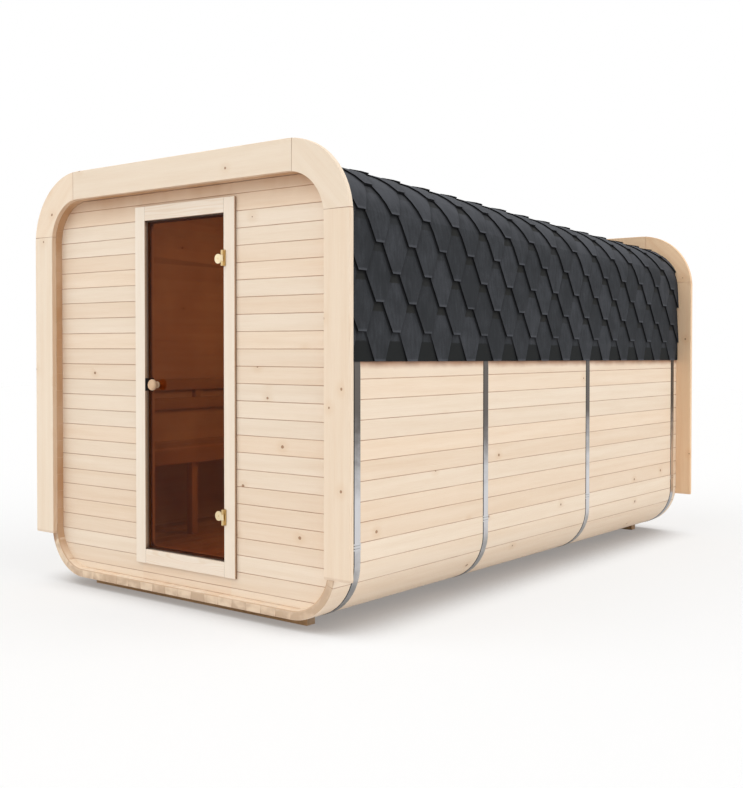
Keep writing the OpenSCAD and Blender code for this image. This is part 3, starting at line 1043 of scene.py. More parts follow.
@dataclass
class Shell:
    """The rounded-square shell of long staves."""

    roof: Roofline
    half: float = 1.082
    bottom: float = 0.048
    thick: float = 0.050
    radius: float = 0.282
    top: float = 2.249
    front: float = -1.972
    back: float = 1.972
    stave: float = 0.0981
    first_seam: float = 0.327
    gap: float = 0.0001
    ease: float = 0.0026
    inner_ease: float = 0.0006
    tight_ease: float = 0.000312
    outer_round: float = 0.003
    ledge_round: float = 0.010
    hidden_round: float = 0.002
    joint_share: float = 0.53
    corner_staves: int = 5
    corner_fill: int = 7
    roof_staves: int = 16
    least: float = 0.01
    tip: float = 0.002
    full_tip: float = 0.02
    least_seam: float = 0.05
    inside_share: float = 0.9

    @property
    def flat(self) -> float:
        """Half the width between the corners' centres."""
        return self.half - self.radius

    def corner(self, girth: np.ndarray, depth: np.ndarray) -> tuple[np.ndarray, np.ndarray]:
        """A place in a corner: out from the corner's centre, by how far round and how deep it lies.

        Args:
            girth: Distance round the outside, from the side wall.
            depth: Distance in from the outside.

        Returns:
            Distances out and up or down from the corner's centre.
        """
        angle = girth / self.radius
        reach = self.radius - depth
        return reach * np.cos(angle), reach * np.sin(angle)

    def staves(
        self, draw: np.random.Generator, width: np.ndarray, fill: int = 0, ease: Ease | None = None
    ) -> Boards:
        """A row of staves.

        Args:
            draw: The source of random numbers.
            width: Width of each stave.
            fill: Extra points along each face.
            ease: Cuts on the outer edges, or None for the usual ones.

        Returns:
            The staves, with half the gap to the next one on either side.
        """
        cut = self.ease if ease is None else ease
        row = Boards.drawn(draw, width - self.gap, self.thick, cut, fill, self.inner_ease)
        return replace(row, across=row.across + self.gap / 2)

    def stack(self, row: Boards, x: np.ndarray, z: np.ndarray, stations: np.ndarray) -> Pile:
        """Carries staves along the sauna.

        Args:
            row: The staves.
            x: Sideways place of each point, (staves, stations, points).
            z: Height of each point, shaped as x.
            stations: Places along Y, (stations,).

        Returns:
            The staves.
        """
        y = np.broadcast_to(stations[None, :, None], x.shape)
        across, through = at_stations(row.across, x.shape), at_stations(row.through, x.shape)
        place = np.stack([y - self.front, across, through], axis=-1)
        # Points on the inner face carry painted shade, which shows near the ends of the sauna.
        inside = (through > self.thick * self.inside_share) * 1.0
        return Pile().lay(row, np.stack([x, y, z], axis=-1), place, inside)

    def rounded(self, row: Boards, inner: float) -> tuple[np.ndarray, np.ndarray, np.ndarray]:
        """Rounds the staves over at both ends of the sauna.

        At angle t of a quarter circle the station lies r(1 - cos t) from the end, and the inner
        face stands r(1 - sin t) back; the outer face does the same with its own smaller radius.

        Args:
            row: The staves.
            inner: Radius of the rounding on the inner face.

        Returns:
            Stations along Y, and places across and through, (staves, stations, points).
        """
        turn = np.linspace(0.0, math.pi / 2, 5)
        step = inner * (1 - np.cos(turn))
        stations = np.concatenate([self.front + step, (self.back - step)[::-1]])
        share = 1 - np.sin(turn)
        share = np.concatenate([share, share[::-1]])[None, :, None]
        near, far = self.outer_round * share, self.thick - inner * share
        through = np.clip(row.through[:, None, :], near, far)
        return stations, at_stations(row.across, through.shape), through

    def floor_or_roof(self, roof: bool, draw: np.random.Generator) -> Pile:
        """Builds the level floor or the falling roof as flat staves side by side.

        Args:
            roof: True for the roof.
            draw: The source of random numbers.

        Returns:
            The staves.
        """
        width = np.full(self.roof_staves, 2 * self.flat / self.roof_staves)
        row = self.staves(draw, width)
        ending = self.hidden_round if roof else self.ledge_round
        stations, across, through = self.rounded(row, ending)
        x = -self.flat + (np.arange(len(width)) * width)[:, None, None] + across
        if roof:
            return self.stack(row, x, self.roof.at(self.top - through, stations[:, None]), stations)
        return self.stack(row, x, self.bottom + through, stations)

    def corner_staves_of(self, side: Side, upper: bool, draw: np.random.Generator) -> Pile:
        """Builds one of the four rounded corners.

        An upper corner is made of even staves. A lower one has one stave like those of the wall and
        then two wide moulded pieces, whose joint hardly shows.

        Args:
            side: Which side.
            upper: True for a corner under the roof.
            draw: The source of random numbers.

        Returns:
            The staves.
        """
        girth = self.radius * math.pi / 2
        if upper:
            width, ease = np.full(self.corner_staves, girth / self.corner_staves), None
        else:
            rest = girth - self.stave
            width = np.array([self.stave, rest * self.joint_share, rest * (1 - self.joint_share)])
            full, tight = self.ease, self.tight_ease
            ease = np.array([[full, full], [full, tight], [tight, tight]])
        row = self.staves(draw, width, self.corner_fill, ease)
        ending = self.hidden_round if upper else self.ledge_round
        stations, across, through = self.rounded(row, ending)
        start = np.concatenate([[0.0], np.cumsum(width)[:-1]])
        out, rise = self.corner(start[:, None, None] + across, through)
        x = side.value * (self.flat + out)
        if upper:
            z = self.roof.at(self.top - self.radius + rise, stations[:, None])
        else:
            z = self.bottom + self.radius - rise
        return self.stack(row, x, z, stations)

    def wall(self, side: Side, draw: np.random.Generator) -> Pile:
        """Builds a side wall: level staves, whose upper ones are cut along the falling roof.

        A stave's upper edge is the lower of its own height and the fold line, so the last staves
        taper, each to a low tip.

        Args:
            side: Which side.
            draw: The source of random numbers.

        Returns:
            The staves.
        """
        foot, fold = self.bottom + self.radius, self.top - self.radius
        back_end, front_end = (float(self.roof.at(fold, y)) for y in (self.back, self.front))
        seams = self.first_seam + self.stave * np.arange(1, MOST_BOARDS)
        seams = np.concatenate([[foot], seams[seams < front_end - self.least], [front_end]])
        margin = 2 * self.least
        ease = self.hidden_round
        pile = Pile()
        for low, high in zip(seams[:-1], seams[1:]):
            stations = [self.front, self.front + ease, self.back - ease, self.back]
            if high > back_end:
                meet = self.roof.meets(fold, high)
                stations.insert(2, min(max(meet, self.front + margin), self.back - margin))
            if low > back_end - self.tip:
                last = self.roof.meets(fold, low) - self.tip / self.roof.slope
                stations = [s for s in stations if s < last - self.least] + [last]
            places = np.array(stations)
            pull = np.where((places == self.front) | (places == self.back), ease, 0.0)[:, None]
            top = np.minimum(high, self.roof.at(fold, places))
            width = top - low - self.gap
            across, through, edge = eased_section(
                width, self.thick, self.ease, inner=self.inner_ease
            )
            shrink = np.clip(width / self.full_tip, self.least_seam, 1.0)[:, None]
            across = np.clip(across, 0.0, width[:, None]) + self.gap / 2
            through = np.clip(through, pull, self.thick - pull)
            shift, tone = random_board(draw, 1)
            x = side.value * (self.half - through)
            y = np.broadcast_to(places[:, None], x.shape)
            place = np.stack([y - self.front, across, through], axis=-1)
            # Points on the inner face carry painted shade, which shows near the ends of the sauna.
            inside = (through > self.thick * self.inside_share) * 1.0
            wear = wear_of((edge * shrink)[None], end_cuts((1, *x.shape)), inside)
            points = np.stack([x, y, low + across], axis=-1)
            pile.loft(points[None], (place + shift)[None], tone, wear)
        return pile

    def build(self, wood: bpy.types.Material, draw: np.random.Generator) -> None:
        """Builds and dresses the whole shell."""
        piles = {
            "shell_floor": self.floor_or_roof(False, draw),
            "shell_roof": self.floor_or_roof(True, draw),
        }
        for side in Side:
            piles[f"shell_wall_{side.word}"] = self.wall(side, draw)
            for level in ("bottom", "top"):
                corner = self.corner_staves_of(side, level == "top", draw)
                piles[f"shell_corner_{level}_{side.word}"] = corner
        dress_piles(piles, "shell", "staves", wood, "wall_wood")
        LOG.info("shell: %d pieces", len(piles))


# ---- End walls ----


@dataclass
class EndWall:
    """A wall of level boards that fills one end of the shell, round the door frame if any."""

    outside: float
    inside: float
    top: float
    half: float = 1.0317
    foot: float = 0.098
    radius: float = 0.2317
    board: float = 0.0869
    first_seam: float = 0.137
    least: float = 0.012
    gap: float = 0.0001
    ease: float = 0.0026
    fill: int = 5
    # Painted shade towards the top, under the roof: how far down it reaches and how dark it gets.
    shade: float = 0.150
    shade_share: float = 0.80

    def reach(self, z: np.ndarray) -> np.ndarray:
        """Half the wall's width at a height: full, less what the rounded corners take off."""
        low, high = self.foot + self.radius, self.top - self.radius
        over = np.clip(np.maximum(low - z, z - high), 0.0, self.radius)
        return self.half - self.radius + np.sqrt(self.radius**2 - over**2)

    def boards(
        self,
        draw: np.random.Generator,
        left: float | None = None,
        right: float | None = None,
        low: float | None = None,
        high: float | None = None,
    ) -> Pile:
        """Builds the boards between two heights and two sides.

        A board's section in height and depth is carried sideways; where it ends at the shell, each
        point of the section ends where the rounded outline is at its own height. The boards carry
        painted shade towards the top, under the roof.

        Args:
            draw: The source of random numbers.
            left: Where the boards start, or None for the shell.
            right: Where they end, or None for the shell.
            low: Lower limit, or None for the wall's foot.
            high: Upper limit, or None for the wall's top.

        Returns:
            The boards.
        """
        low = self.foot if low is None else low
        high = self.top if high is None else high
        seams = self.first_seam + self.board * np.arange(0, MOST_BOARDS)
        seams = seams[(seams > low + self.least) & (seams < high - self.least)]
        seams = np.concatenate([[low], seams, [high]])
        depth = abs(self.inside - self.outside)
        row = Boards.drawn(draw, np.diff(seams) - self.gap, depth, self.ease, self.fill)
        z = seams[:-1, None] + self.gap / 2 + row.across
        start = -self.reach(z) if left is None else np.full(z.shape, left)
        stop = self.reach(z) if right is None else np.full(z.shape, right)
        x = np.stack([start, stop], axis=1)
        across, through = at_stations(row.across, x.shape), at_stations(row.through, x.shape)
        y = self.outside + np.sign(self.inside - self.outside) * through
        # Painted shade under the roof, strongest at the top.
        painted_shade = np.clip(1 - (self.top - z) / self.shade, 0.0, 1.0) * self.shade_share
        points = np.stack([x, y, at_stations(z, x.shape)], axis=-1)
        place = np.stack([x, across, through], axis=-1)
        return Pile().lay(row, points, place, painted_shade[:, None, :], 0.0)


@dataclass
class EndWalls:
    """The front wall round the door frame and the closed back wall."""

    front_seed: int = 40

    def build(self, wood: bpy.types.Material, draw: np.random.Generator) -> None:
        """Builds and dresses both walls; the front's pieces share their boards' random values."""
        left_low, left_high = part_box("front_wall_left")
        left, right = left_high.x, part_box("front_wall_right")[0].x
        above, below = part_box("front_wall_top")[0].z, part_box("front_wall_bottom")[1].z
        front = EndWall(left_low.y, left_high.y, left_high.z)
        spans = {
            "left": (None, left, None, None),
            "right": (right, None, None, None),
            "top": (left, right, above, None),
            "bottom": (left, right, None, below),
        }
        piles = {
            f"front_wall_{word}": front.boards(np.random.default_rng(self.front_seed), *span)
            for word, span in spans.items()
        }
        low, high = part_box("back_wall")
        piles["back_wall"] = EndWall(high.y, low.y, high.z).boards(draw)
        dress_piles(piles, "wall", "boards", wood, "wall_wood")
        LOG.info("end walls: %d pieces", len(piles))


# ---- Fascia frames ----


@dataclass
class FasciaFrame:
    """One curved frame: a top board, two corner blocks and two side boards."""

    word: str
    near: float
    far: float
    top: float
    flat: float = 0.800
    outer: float = 0.390
    inner: float = 0.232
    joint: float = 0.833
    reach: float = 0.357
    foot: float = 0.280
    ease: float = 0.0022
    # Painted shade on the boards' inner edges, which face into the recess.
    inner_stain: float = 0.55
    joint_mark: float = 1.0
    foot_mark: float = 0.2
    corner_steps: int = 25

    @property
    def middle(self) -> float:
        """Height of the corners' centres."""
        return self.top - self.outer

    def arc(self, radius: float, offset: np.ndarray) -> np.ndarray:
        """Distance from the centre line that a circle reaches at an offset from its centre."""
        return np.sqrt(radius**2 - np.clip(offset, 0.0, None) ** 2)

    def board(
        self,
        rails: list[np.ndarray],
        course: tuple[float, float],
        draw: np.random.Generator,
        first_mark: float = 1.0,
    ) -> Pile:
        """Builds one board between two rails.

        At each step the section is a rectangle with its edges eased, stretched between the inner
        and the outer rail, and it draws in at both ends.

        Args:
            rails: Points (x, z) of the inner and of the outer rail.
            course: Direction (x, z) of the grain.
            draw: The source of random numbers.
            first_mark: How much of a seam its first end is.

        Returns:
            The board.
        """
        depth = self.far - self.near
        length = np.linalg.norm(np.diff(rails[1], axis=0), axis=1).sum()
        inner, outer = (self._ease_ends(rail, self.ease / length) for rail in rails)
        span = outer - inner
        width = np.linalg.norm(span, axis=1)
        across, through, _ = eased_section(width, depth, self.ease)
        pull = end_cuts((1, len(width), 1))[0] * self.ease
        across = np.clip(across, pull, width[:, None] - pull)
        through = np.clip(through, pull, depth - pull)
        flat = inner[:, None, :] + span[:, None, :] * (across / width[:, None])[..., None]
        points = np.stack([flat[..., 0], self.near + through, flat[..., 1]], axis=-1)
        along = flat @ np.array(course)
        side = flat @ np.array([-course[1], course[0]])
        place = np.stack([along, side, through], axis=-1)
        shift, tone = random_board(draw, 1)
        joint = np.zeros(along.shape)
        joint[:2], joint[-2:] = self.joint_mark * first_mark, self.joint_mark
        # The inner edge of the section carries painted shade.
        inside = np.zeros(along.shape)
        inside[:, -2:] = self.inner_stain
        wear = wear_of(joint, np.zeros(along.shape), inside)
        return Pile().loft(points[None], (place + shift)[None], tone, wear[None])

    def _ease_ends(self, rail: np.ndarray, share: float) -> np.ndarray:
        """Adds two points close to each end of a rail."""
        near = np.array([[1.0], [1.8]]) * min(0.25, share * (len(rail) - 1))
        first = rail[0] + (rail[1] - rail[0]) * near
        last = rail[-1] + (rail[-2] - rail[-1]) * near[::-1]
        return np.vstack([rail[:1], first, rail[1:-1], last, rail[-1:]])

    def top_board(self, draw: np.random.Generator) -> Pile:
        """The top board: level between the corners, with the start of an arc at each end."""
        right = np.array([0.9604, 0.973, 0.987, 1])
        x = np.concatenate([-right[::-1], [0], right]) * self.joint
        over = np.abs(x) - self.flat
        radii = (self.inner, self.outer)
        rails = [np.stack([x, self.middle + self.arc(r, over)], axis=1) for r in radii]
        return self.board(rails, (1.0, 0.0), draw)

    def side_board(self, side: Side, draw: np.random.Generator) -> Pile:
        """A side board: upright, with the start of an arc at its upper end."""
        start = self.top - self.reach
        z = np.concatenate([[self.foot, self.middle], np.linspace(self.middle, start, 4)[1:]])
        rails = []
        for r in (self.inner, self.outer):
            x = side.value * (self.flat + self.arc(r, z - self.middle))
            rails.append(np.stack([x, z], axis=1))
        return self.board(rails, (0.0, 1.0), draw, self.foot_mark)

    def corner_block(self, side: Side, draw: np.random.Generator) -> Pile:
        """A corner block: both rails follow their own arc between the two joints."""
        rails = []
        for r in (self.inner, self.outer):
            start = math.asin((self.joint - self.flat) / r)
            angle = np.linspace(start, math.pi / 2 - start, self.corner_steps)
            x = side.value * (self.flat + r * np.cos(angle))
            rails.append(np.stack([x, self.middle + r * np.sin(angle)], axis=1))
        slant = math.sqrt(0.5)
        return self.board(rails, (-side.value * slant, slant), draw)

    def build(self, wood: bpy.types.Material, draw: np.random.Generator) -> None:
        """Builds and dresses the frame's five pieces."""
        piles = {f"fascia_{self.word}_top": self.top_board(draw)}
        for side in Side:
            piles[f"fascia_{self.word}_corner_{side.word}"] = self.corner_block(side, draw)
            piles[f"fascia_{self.word}_side_{side.word}"] = self.side_board(side, draw)
        dress_piles(piles, "fascia", "face_board", wood, "fascia_wood")
        LOG.info("%s fascia: %d pieces", self.word, len(piles))


# ---- Roof covering ----


@dataclass
class Shingles:
    """Hexagonal shingle tabs in overlapping courses, over a starter strip, with a capping row.

    A place on the covering is (y, row): rows 0 to fan_rows share out the side wall and the corner,
    whose height shrinks towards the back, and the rest of the rows are even up to the middle.
    """

    shell: Shell
    edge: float = COVER_EDGE
    edge_slope: float = COVER_SLOPE
    crown: float = 0.019
    crown_end: float = 1.2
    crown_length: float = 3.0
    pitch: float = Shingle.pitch
    centre: float = -1.788
    fan_rows: float = 7.62
    all_rows: float = 13.0
    foot_half: float = Shingle.foot_half
    waist_half: float = Shingle.waist_half
    full_half: float = 0.498
    most_tabs: int = 20
    beyond: float = 0.13
    thick: float = 0.0072
    proud: float = 0.0158
    skin: float = 0.0003
    roof_share: float = 0.6
    lap: float = 2.1
    foot_cut: float = 0.15
    end_gap: float = 0.001
    tab_error: float = 0.0012
    row_error: float = 0.006
    curl: float = 0.0008
    curl_fade: float = 3.0
    shown_rise: float = 0.99
    narrowest: float = 0.0005
    starter_rows: float = 1.08
    starter_lift: float = 0.0076
    underlay_lift: float = 0.0010
    strip_lines: int = 9
    cap_pitch: float = 0.145
    cap_length: float = 0.30
    cap_least: float = 0.05
    cap_half: float = 0.150
    cap_thick: float = 0.0035
    cap_proud: float = 0.0062
    cap_sink: float = 0.9
    cut_facing: float = 0.6
    smooth_angle: float = 20.0

    @property
    def ends(self) -> tuple[float, float]:
        """Where the covering starts and stops along the sauna."""
        return self.shell.front + self.end_gap, self.shell.back - self.end_gap

    def surface(self, y: np.ndarray, row: np.ndarray, lift: np.ndarray) -> np.ndarray:
        """A point above the right half of the shell.

        The girth from the lower edge is worked out from the row; on the wall it is height, in the
        corner it is an angle, and above it is distance towards the middle.

        Args:
            y: Place along the sauna.
            row: Rows above the lower edge.
            lift: Height above the shell's outside.

        Returns:
            Points, with one more axis than y.
        """
        shell = self.shell
        edge = self.edge - self.edge_slope * y
        wall = shell.roof.at(shell.top - shell.radius, y) - edge
        arc = shell.radius * math.pi / 2
        even = shell.flat / (self.all_rows - self.fan_rows)
        girth = np.where(
            row < self.fan_rows,
            row * (wall + arc) / self.fan_rows,
            wall + arc + (row - self.fan_rows) * even,
        )
        angle = np.clip((girth - wall) / shell.radius, 0.0, math.pi / 2)
        inward = np.clip(girth - wall - arc, 0.0, None)
        lift = lift + self.crowned(y) * np.sin(angle) ** 2
        rise = shell.top - shell.radius + (shell.radius + lift) * np.sin(angle)
        x = shell.flat + (shell.radius + lift) * np.cos(angle) - inward
        z = np.where(girth < wall, edge + girth, shell.roof.at(rise, y))
        return np.stack([x, y, z], axis=-1)

    def crowned(self, y: np.ndarray) -> np.ndarray:
        """How far the covering stands up on top: most at the front, nothing in the back third."""
        return self.crown * np.clip((self.crown_end - y) / self.crown_length, 0.0, 1.0)

    def tabs(self, side: Side, draw: np.random.Generator) -> Pile:
        """All the tabs of one side.

        A tab is a strip of cross lines from its foot up under the next courses. Its half width goes
        evenly from the foot to the waist and then fills the pitch. It lies on the course below, so
        its lift falls by one thickness per row; the courses on the roof lie flatter.

        Args:
            side: Which side.
            draw: The source of random numbers.

        Returns:
            The tabs.
        """
        pile = Pile()
        front, back = self.ends
        for course in range(int(self.all_rows) - 1):
            lap = min(self.lap, self.all_rows - course)
            rise = np.array([0, 1 / 3, 2 / 3, 1, 1.012, 4 / 3, 5 / 3, 1.9, lap])
            cut = self.foot_cut if course == 0 else 0.0
            slant = (self.waist_half - self.foot_half) * (cut + (1 - cut) * rise)
            half = self.pitch * np.where(rise <= 1, self.foot_half + slant, self.full_half)
            first = self.centre - self.pitch * 2 + (0.5 * self.pitch if course % 2 == 0 else 0.0)
            middle = first + self.pitch * np.arange(self.most_tabs)
            middle = middle[(middle > front - self.beyond) & (middle < back + self.beyond)]
            count = len(middle)
            place = middle[:, None] + draw.normal(0.0, self.tab_error, (count, 1))
            slip = draw.normal(0.0, self.row_error, (count, 1))
            low, high = np.clip(place - half, front, back), np.clip(place + half, front, back)
            high = np.maximum(high, low + self.narrowest)
            low = np.minimum(low, high - self.narrowest)
            curl = draw.uniform(0.0, self.curl, (count, 1)) * np.exp(-rise * self.curl_fade)
            thick = self.thick * (self.roof_share if course >= self.fan_rows else 1.0)
            up = np.broadcast_to(self.proud - thick * rise + curl, low.shape)
            down = np.maximum(up - thick + self.skin / 2, self.skin)
            row = np.maximum(course + rise + slip * (rise < self.shown_rise), 0.0)
            ring_y = np.stack([low, high, high, low], axis=-1)
            ring_row = np.repeat(row[..., None], 4, axis=-1)
            points = self.surface(ring_y, ring_row, np.stack([up, up, down, down], axis=-1))
            points[..., 0] *= side.value
            rises = np.broadcast_to(rise[None, :, None], ring_y.shape)
            along = (ring_y - first) / self.pitch
            grain = np.stack([rises, along, np.zeros(ring_y.shape)], axis=-1)
            pile.loft(points, grain, random_board(draw, count)[1], np.zeros(grain.shape))
        return pile

    def strip(self, side: Side, row0: float, row1: float, lift: float, starter: bool) -> Pile:
        """A plain strip along the sauna, shaded as the course below the first one.

        Args:
            side: Which side.
            row0: Lower edge, in rows.
            row1: Upper edge, in rows.
            lift: Height of its upper face above the shell.
            starter: True for the strip at the lower edge, which shows between the first tabs.

        Returns:
            The strip.
        """
        front, back = self.ends
        shape = (self.strip_lines, 4)
        ring_y = np.broadcast_to(np.array([front, back, back, front]), shape)
        ring_row = np.repeat(np.linspace(row0, row1, self.strip_lines)[:, None], 4, axis=1)
        ring_lift = np.broadcast_to(np.array([lift, lift, self.skin, self.skin]), shape)
        points = self.surface(ring_y, ring_row, ring_lift)
        points[..., 0] *= side.value
        along = (ring_y - self.centre) / self.pitch
        grain = np.stack([1.0 + ring_row, along, np.full(shape, float(starter))], axis=-1)
        tone = np.array([[0.5, 0.9, 0.5]])
        return Pile().loft(points[None], grain[None], tone, np.zeros((1, *shape, 3)))

    def capping(self, draw: np.random.Generator) -> Pile:
        """The row along the middle: plain overlapping pieces, each rising over the one behind."""
        shell, half = self.shell, self.cap_half
        start = np.arange(self.ends[0], shell.back - self.cap_least, self.cap_pitch)
        stop = np.minimum(start + self.cap_length, self.ends[1])
        along = np.array([0.0, 0.5, 1.0]) * (stop - start)[:, None]
        lift = self.proud + self.cap_proud - self.thick * along / self.cap_pitch
        lift = np.maximum(lift, self.proud - self.thick * self.cap_sink)
        y = np.repeat((start[:, None] + along)[..., None], 4, axis=-1)
        x = np.broadcast_to(np.array([half, -half, -half, half]), y.shape)
        low = lift - self.cap_thick
        up = np.stack([lift, lift, low, low], axis=-1)
        z = shell.roof.at(shell.top + up + self.crowned(y), y)
        grain = np.zeros((*y.shape, 3)) + np.array([0.3, 0.0, 0.0])
        tone = random_board(draw, len(start))[1]
        return Pile().loft(np.stack([x, y, z], axis=-1), grain, tone, np.zeros(grain.shape))

    def build(self, finish: bpy.types.Material, draw: np.random.Generator) -> None:
        """Builds and dresses the covering."""
        piles = {}
        last = self.all_rows - self.end_gap
        for side in Side:
            piles[f"tabs_{side.word}"] = self.tabs(side, draw)
            starter = self.strip(side, 0.0, self.starter_rows, self.starter_lift, True)
            piles[f"starter_{side.word}"] = starter
            piles[f"underlay_{side.word}"] = self.strip(side, 1.0, last, self.underlay_lift, False)
        piles["capping"] = self.capping(draw)
        for word, pile in piles.items():
            piece = pile.piece(f"shingle_{word}", self.smooth_angle)
            self.mark_cuts(piece.data)
            dress(piece, finish, "roof_shingle", "shingle_covering")
        LOG.info("roof covering: %d pieces", len(piles))

    def mark_cuts(self, mesh: bpy.types.Mesh) -> None:
        """Marks the narrow faces round each tab as cut edges: those that face across the shell."""
        facing = read_vectors(mesh.polygons, "normal")
        middle = read_vectors(mesh.polygons, "center")
        shell = self.shell
        fold = shell.roof.at(shell.top - shell.radius, middle[:, 1])
        beside = np.clip(np.abs(middle[:, 0]) - shell.flat, 0.0, None)
        out = np.zeros(facing.shape)
        out[:, 0] = np.sign(middle[:, 0]) * beside
        out[:, 2] = np.clip(middle[:, 2] - fold, 0.0, None)
        out /= np.maximum(np.linalg.norm(out, axis=1, keepdims=True), TINY)
        wear = np.zeros(facing.shape)
        wear[:, 0] = (facing * out).sum(axis=1) < self.cut_facing
        mesh.attributes.remove(mesh.attributes["wear"])
        write_vectors(mesh, "wear", wear, Domain.FACE)


# ---- Bands ----


@dataclass
class Bands:
    """Four steel straps round the shell, each with a pressed seal on the right side."""

    shell: Shell
    width: float = 0.050
    thick: float = 0.002
    front_inset: float = 0.158
    back_inset: float = 0.078
    shares: tuple[float, float] = (0.33, 0.64)
    seal_height: float = 0.41
    seal_long: float = 0.034
    seal_proud: float = 0.002
    bite: float = 0.008
    pressed: float = 0.1
    below_edge: float = -0.035
    above_edge: float = 0.005
    middle_gap: float = 0.0005
    arc_points: int = 14
    smooth_angle: float = 40.0

    @property
    def middles(self) -> list[float]:
        """The straps' middles along the sauna."""
        front, back = self.shell.front, self.shell.back
        between = [front + share * (back - front) for share in self.shares]
        return [front + self.front_inset, *between, back - self.back_inset]

    def path(self, y: np.ndarray, lift: np.ndarray) -> np.ndarray:
        """The way round the shell, from the middle of the floor over the right side and back.

        It is the floor, an arc of a quarter circle at each corner with the shell's radius plus the
        lift, the upright sides and the roof; the upper part falls with the roof line. Under the
        covering the strap is pressed flat, so only a tenth of the lift is left.

        Args:
            y: Places along the sauna, (points,).
            lift: Height of each point above the shell's outside, (points,).

        Returns:
            Points, (steps, points, 3).
        """
        shell = self.shell
        angle = np.linspace(0.0, math.pi / 2, self.arc_points)[:, None]
        reach = shell.radius + lift[None, :]
        flat = shell.radius + self.pressed * lift[None, :]
        middle_x = np.full((1, len(y)), self.middle_gap)
        low_x = shell.flat + reach * np.sin(angle)
        turn_x = shell.flat + np.vstack([reach, flat])
        high_x = shell.flat + flat * np.cos(angle)
        floor_z = shell.bottom - lift[None, :]
        low_z = shell.bottom + shell.radius - reach * np.cos(angle)
        turn_z = COVER_EDGE + np.array([[self.below_edge], [self.above_edge]]) + 0.0 * turn_x
        high_z = shell.roof.at(shell.top - shell.radius + flat * np.sin(angle), y[None, :])
        half_x = np.vstack([middle_x, low_x, turn_x, high_x])
        half_z = np.vstack([floor_z, low_z, turn_z, high_z])
        x = np.vstack([half_x, -half_x[::-1]])
        z = np.vstack([half_z, half_z[::-1]])
        return np.stack([x, np.broadcast_to(y, x.shape), z], axis=-1)

    def strap(self, pile: Pile, middle: float) -> None:
        """Adds one strap, whose section has slightly rounded edges.

        Args:
            pile: Where it goes.
            middle: Its middle along the sauna.
        """
        side = np.array([-1, -0.88, -0.72, 0.95, 0.985, 1, 1, -1]) * self.width / 2
        lift = np.array([0.6, 1.0, 1.0, 1.0, 0.9, 0.6, 0.05, 0.05]) * self.thick
        # The edges and the underside carry painted shade, widest on the front edge.
        rim = np.array([1.0, 0.9, 0.0, 0.0, 0.9, 1.0, 1.0, 1.0])
        points = self.path(middle + side, lift)[None]
        edge = np.broadcast_to(rim, points.shape[:3])
        pile.loft(points, points, np.full((1, 3), 0.5), wear_of(edge, 0 * edge))

    def seal(self, pile: Pile, middle: float) -> None:
        """Adds the pressed seal of one strap: a sleeve with two notches on each edge.

        Its half width is that of the strap plus a little, less a bite at the notches.

        Args:
            pile: Where it goes.
            middle: The strap's middle along the sauna.
        """
        share = np.array([0, 0.2, 0.24, 0.34, 0.38, 0.62, 0.66, 0.76, 0.8, 1.0])
        bite = np.array([0, 0, 1, 1, 0, 0, 1, 1, 0, 0])[:, None]
        half = self.width / 2 + self.seal_proud - bite * self.bite
        y = middle + half * np.array([-1, 1, 1, -1])
        x = np.broadcast_to(self.shell.half + np.array([2.0, 2.0, 0.2, 0.2]) * self.thick, y.shape)
        z = self.seal_height + (share - 0.5) * self.seal_long
        points = np.stack([x, y, np.broadcast_to(z[:, None], y.shape)], axis=-1)[None]
        # The seal's notches carry painted shade.
        edge = np.broadcast_to(bite * 0.3, y.shape)[None]
        pile.loft(points, points, np.full((1, 3), 0.5), wear_of(edge, 0 * edge))

    def build(self, steel: bpy.types.Material) -> None:
        """Builds and dresses the straps."""
        for number, middle in enumerate(self.middles, 1):
            pile = Pile()
            self.strap(pile, middle)
            self.seal(pile, middle)
            piece = pile.piece(f"steel_strap_{number}", self.smooth_angle)
            dress(piece, steel, "band_steel", "steel_bands")
        LOG.info("bands: %d pieces", len(self.middles))


# ---- Door ----

# A knob from its foot to the middle of its face: radius and height, as shares of its own size.
KNOB_PROFILE = (
    (0.59, 0.0), (0.56, 0.05), (0.51, 0.14), (0.53, 0.26), (0.60, 0.36), (0.78, 0.46),
    (0.93, 0.57), (1.0, 0.70), (0.98, 0.81), (0.90, 0.91), (0.80, 0.955), (0.70, 0.985),
    (0.665, 0.970), (0.63, 0.988), (0.45, 0.998), (0.415, 0.982), (0.38, 0.999), (0.02, 1.0),
)


